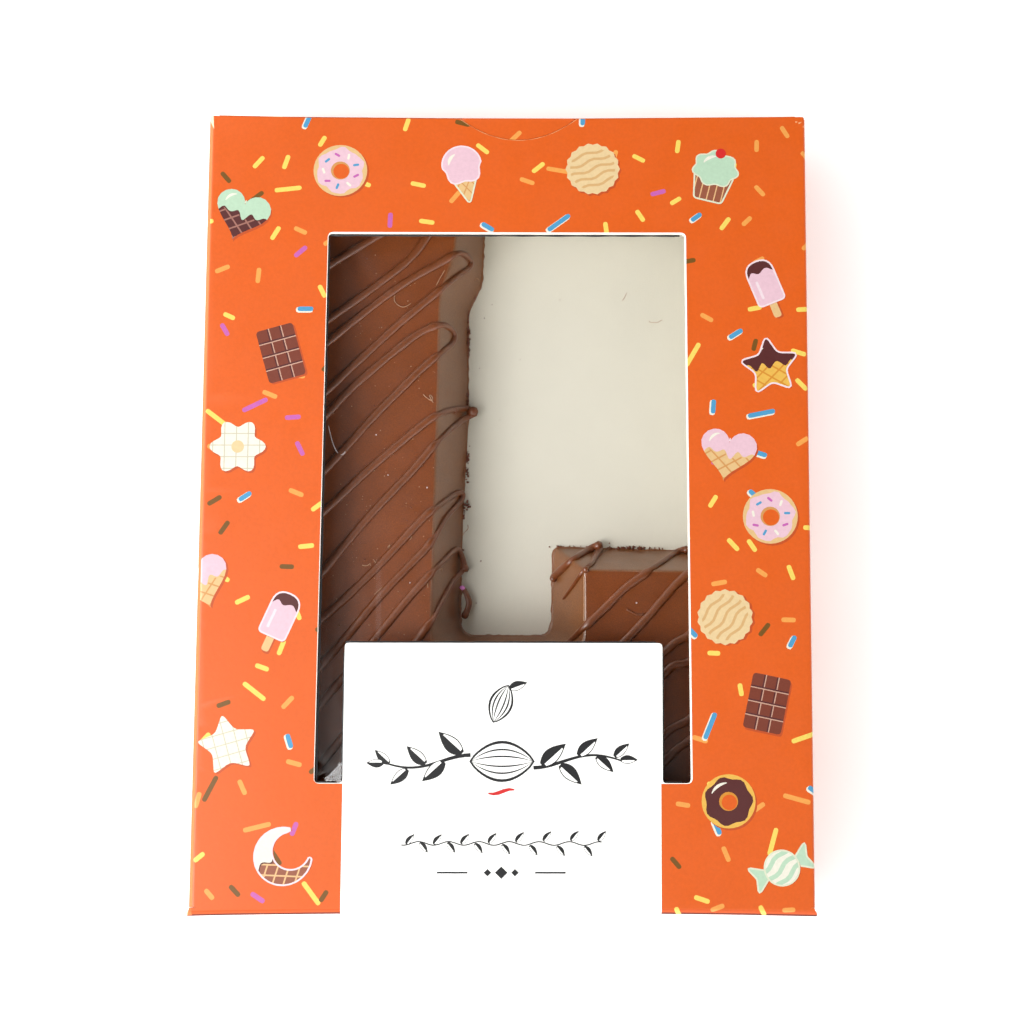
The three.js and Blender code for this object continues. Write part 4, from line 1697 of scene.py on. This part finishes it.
def thread(middles, radii):
    """A thin round fibre"""
    count = len(middles)
    return tube(middles, [Vector((0, 0, 1))] * count, radii, [1] * count, FIBRE_SIDES)


def make_shavings_and_arris_highlight(ground):
    heap = Heap()
    dice = random.Random(3)
    # the last route is the painted highlight on the foot's arris
    for route in SHAVINGS + [ARRIS_HIGHLIGHT]:
        is_arris_highlight = route is ARRIS_HIGHLIGHT
        flat = curve_through(route, FIBRE_STEP)
        met = [ground.seen(point.x, point.y) for point in flat]
        middles = averaged([place + Vector((0, 0, 0 if is_arris_highlight else SHAVING_HEIGHT)) for place, _ in met], 1)
        radius = ARRIS_HIGHLIGHT_RADIUS if is_arris_highlight else SHAVING_RADIUS
        heap.add(*thread(middles, [radius * dice.uniform(0.7, 1.2) for _ in middles]))
    for route in BOARD_LINT:
        height = LETTER_BASE + BOARD_LINT_RADIUS
        middles = [Vector((point.x, point.y, height)) for point in curve_through(route, FIBRE_STEP)]
        heap.add(*thread(middles, [BOARD_LINT_RADIUS] * len(middles)))
    for _ in range(FACE_SPECKS):
        place, normal = ground.seen(dice.uniform(*SPECKS_ACROSS), dice.uniform(*SPECKS_ALONG))
        heap.add(*lump(place + normal * 0.04, dice.uniform(*SPECK_RADIUS), dice, 0.8, 0.4))
    return mesh_object("shavings_and_arris_highlight", heap.points, heap.faces, None, shaving_and_highlight_material)


def make_lint(ground):
    heap = Heap()
    dice = random.Random(12)
    middles = []
    for point in curve_through(FACE_LINT, FIBRE_STEP):
        place, _ = ground.seen(point.x, point.y)
        middles.append(place + Vector((0, 0, LINT_HEIGHT)))
    middles = averaged(middles, 2)
    count = len(middles)
    heap.add(*thread(middles, [LINT_RADIUS * (0.6 + 0.6 * index / count) for index in range(count)]))
    for x, y in LINT_SPOTS:
        place, normal = ground.seen(x, y)
        heap.add(*lump(place + normal * 0.1, LINT_RADIUS * dice.uniform(1.1, 1.6), dice, 0.8, 0.6))
    return mesh_object("lint", heap.points, heap.faces, None, lint_material)


# Camera, light and floor

def add_camera():
    data = bpy.data.cameras.new("camera")
    data.sensor_fit = "HORIZONTAL"
    data.sensor_width = 36
    data.lens = CAMERA_LENS
    data.clip_start = 0.01
    camera = bpy.data.objects.new("camera", data)
    back = -CAMERA_AIM.normalized()
    right = CAMERA_UP.cross(back).normalized()
    up = back.cross(right)
    turn = Matrix((right, up, back)).transposed().to_4x4()
    camera.matrix_world = Matrix.Translation(CAMERA_PLACE * MM) @ turn
    bpy.context.scene.collection.objects.link(camera)
    bpy.context.scene.camera = camera


def add_area_light(name, place, size, power):
    """A soft square light, aimed at the carton's middle"""
    data = bpy.data.lights.new(name, "AREA")
    data.shape = "SQUARE"
    data.size = size
    data.energy = power
    light = bpy.data.objects.new(name, data)
    light.location = place
    light.rotation_euler = Vector(place).to_track_quat("Z", "Y").to_euler()
    bpy.context.scene.collection.objects.link(light)


# Lights: place and side in metres, and power in watts
LIGHTS = {
    "key": ((-0.27, -0.09, 0.29), 0.2, 1.22),
    "overhead": ((-0.60, -0.25, 1.6), 1.0, 1.4),
}
FLOOR_HALF = 3000
FLOOR_LEVEL = -0.3
FLOOR_GLOW = 0.3
# The room's light, by the part of a direction that it follows: where the light starts to change, where
# it stops, and how strong it is at either. It is bright low down and to the left and front, and dark
# straight above, where whoever looks down stands.
ROOM_LIGHT = [
    ("Z", 0.05, 0.35, 2.0, 0.0), ("Z", 0.35, 0.75, 0.9, 0.0), ("X", -1.0, 0.0, 1.5, 0.0),
    ("Y", -1.0, 0.0, 1.75, 0.0),
]


def add_surroundings():
    for name, light in LIGHTS.items():
        add_area_light(name, *light)
    world = bpy.data.worlds.new("room")
    world.use_nodes = True
    tree = world.node_tree
    way = add_node(tree, "TexCoord").outputs["Generated"]
    parts = add_node(tree, "SeparateXYZ", {"Vector": way}).outputs
    strength = 0.0
    for axis, low, high, at_low, at_high in ROOM_LIGHT:
        ramp = add_node(tree, "MapRange", {
            "Value": parts[axis], "From Min": low, "From Max": high, "To Min": at_low, "To Max": at_high,
        }).outputs["Result"]
        strength = add_node(tree, "Math", {0: ramp, 1: strength}, operation="ADD").outputs[0]
    background = tree.nodes["Background"]
    background.inputs["Color"].default_value = (1.0, 0.99, 0.97, 1)
    tree.links.new(strength, background.inputs["Strength"])
    bpy.context.scene.world = world
    bpy.context.scene.view_settings.view_transform = "Standard"
    ways = ((-1, -1), (1, -1), (1, 1), (-1, 1))
    corners = [(FLOOR_HALF * x, FLOOR_HALF * y, FLOOR_LEVEL) for x, y in ways]
    floor_material = make_plain_material("pale_floor", (250, 250, 250), 0.9, 0.98, 1.0)
    glow = floor_material.node_tree.nodes["Principled BSDF"].inputs
    glow["Emission Color"].default_value = (1, 1, 1, 1)
    glow["Emission Strength"].default_value = FLOOR_GLOW
    floor = mesh_object("floor", corners, [(0, 1, 2, 3)], None, floor_material)


print_material = make_print_material()
bare_material = make_bare_material()
core_material = make_core_material()
film_material = make_film_material()
face_material = make_chocolate_material("milk_chocolate", (116, 55, 12), (126, 61, 16))
# The sides are the face's chocolate painted lighter and greyer, a painted sheen of the pale board they
# reflect
sheen_side_material = make_chocolate_material("side_chocolate_painted_sheen", (122, 70, 32), (132, 80, 40), 1.0)
drizzle_material = make_chocolate_material("drizzle_chocolate", (108, 54, 18), (122, 62, 26))
crumb_material = make_chocolate_material("crumb_chocolate", (96, 44, 24), (140, 74, 42))
# also the pale thread painted along the foot's arris as a highlight
shaving_and_highlight_material = make_plain_material("pale_shaving_and_highlight", (184, 142, 112), 0.6)
lint_material = make_plain_material("white_lint", (226, 212, 216), 0.7)
# painted shadow: the dark strips just inside the window's edge
shadow_line_material = make_plain_material("painted_window_shadow", (24, 27, 33), 0.5)
pink_material = make_plain_material("pink_sugar", (250, 150, 236), 0.5)

body_points, body_faces, body_kinds = make_letter_body()
letter = mesh_object("letter_body", body_points, body_faces, body_kinds, face_material, sheen_side_material)
letter.data.set_sharp_from_angle(angle=LETTER_ARRIS)
ground = Ground(body_points, body_faces)

for piece in (make_wrap(), make_lid()):
    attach(piece, "root")
    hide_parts("carton")

for piece in (make_film(), make_shadow_lines()):
    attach(piece, "root")
    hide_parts("window_film")

for piece in (letter, make_drizzle(ground), make_pink_fleck(ground), make_crumbs(ground),
              make_shavings_and_arris_highlight(ground), make_lint(ground)):
    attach(piece, "root")
    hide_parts("chocolate_letter")

add_camera()
add_surroundings()
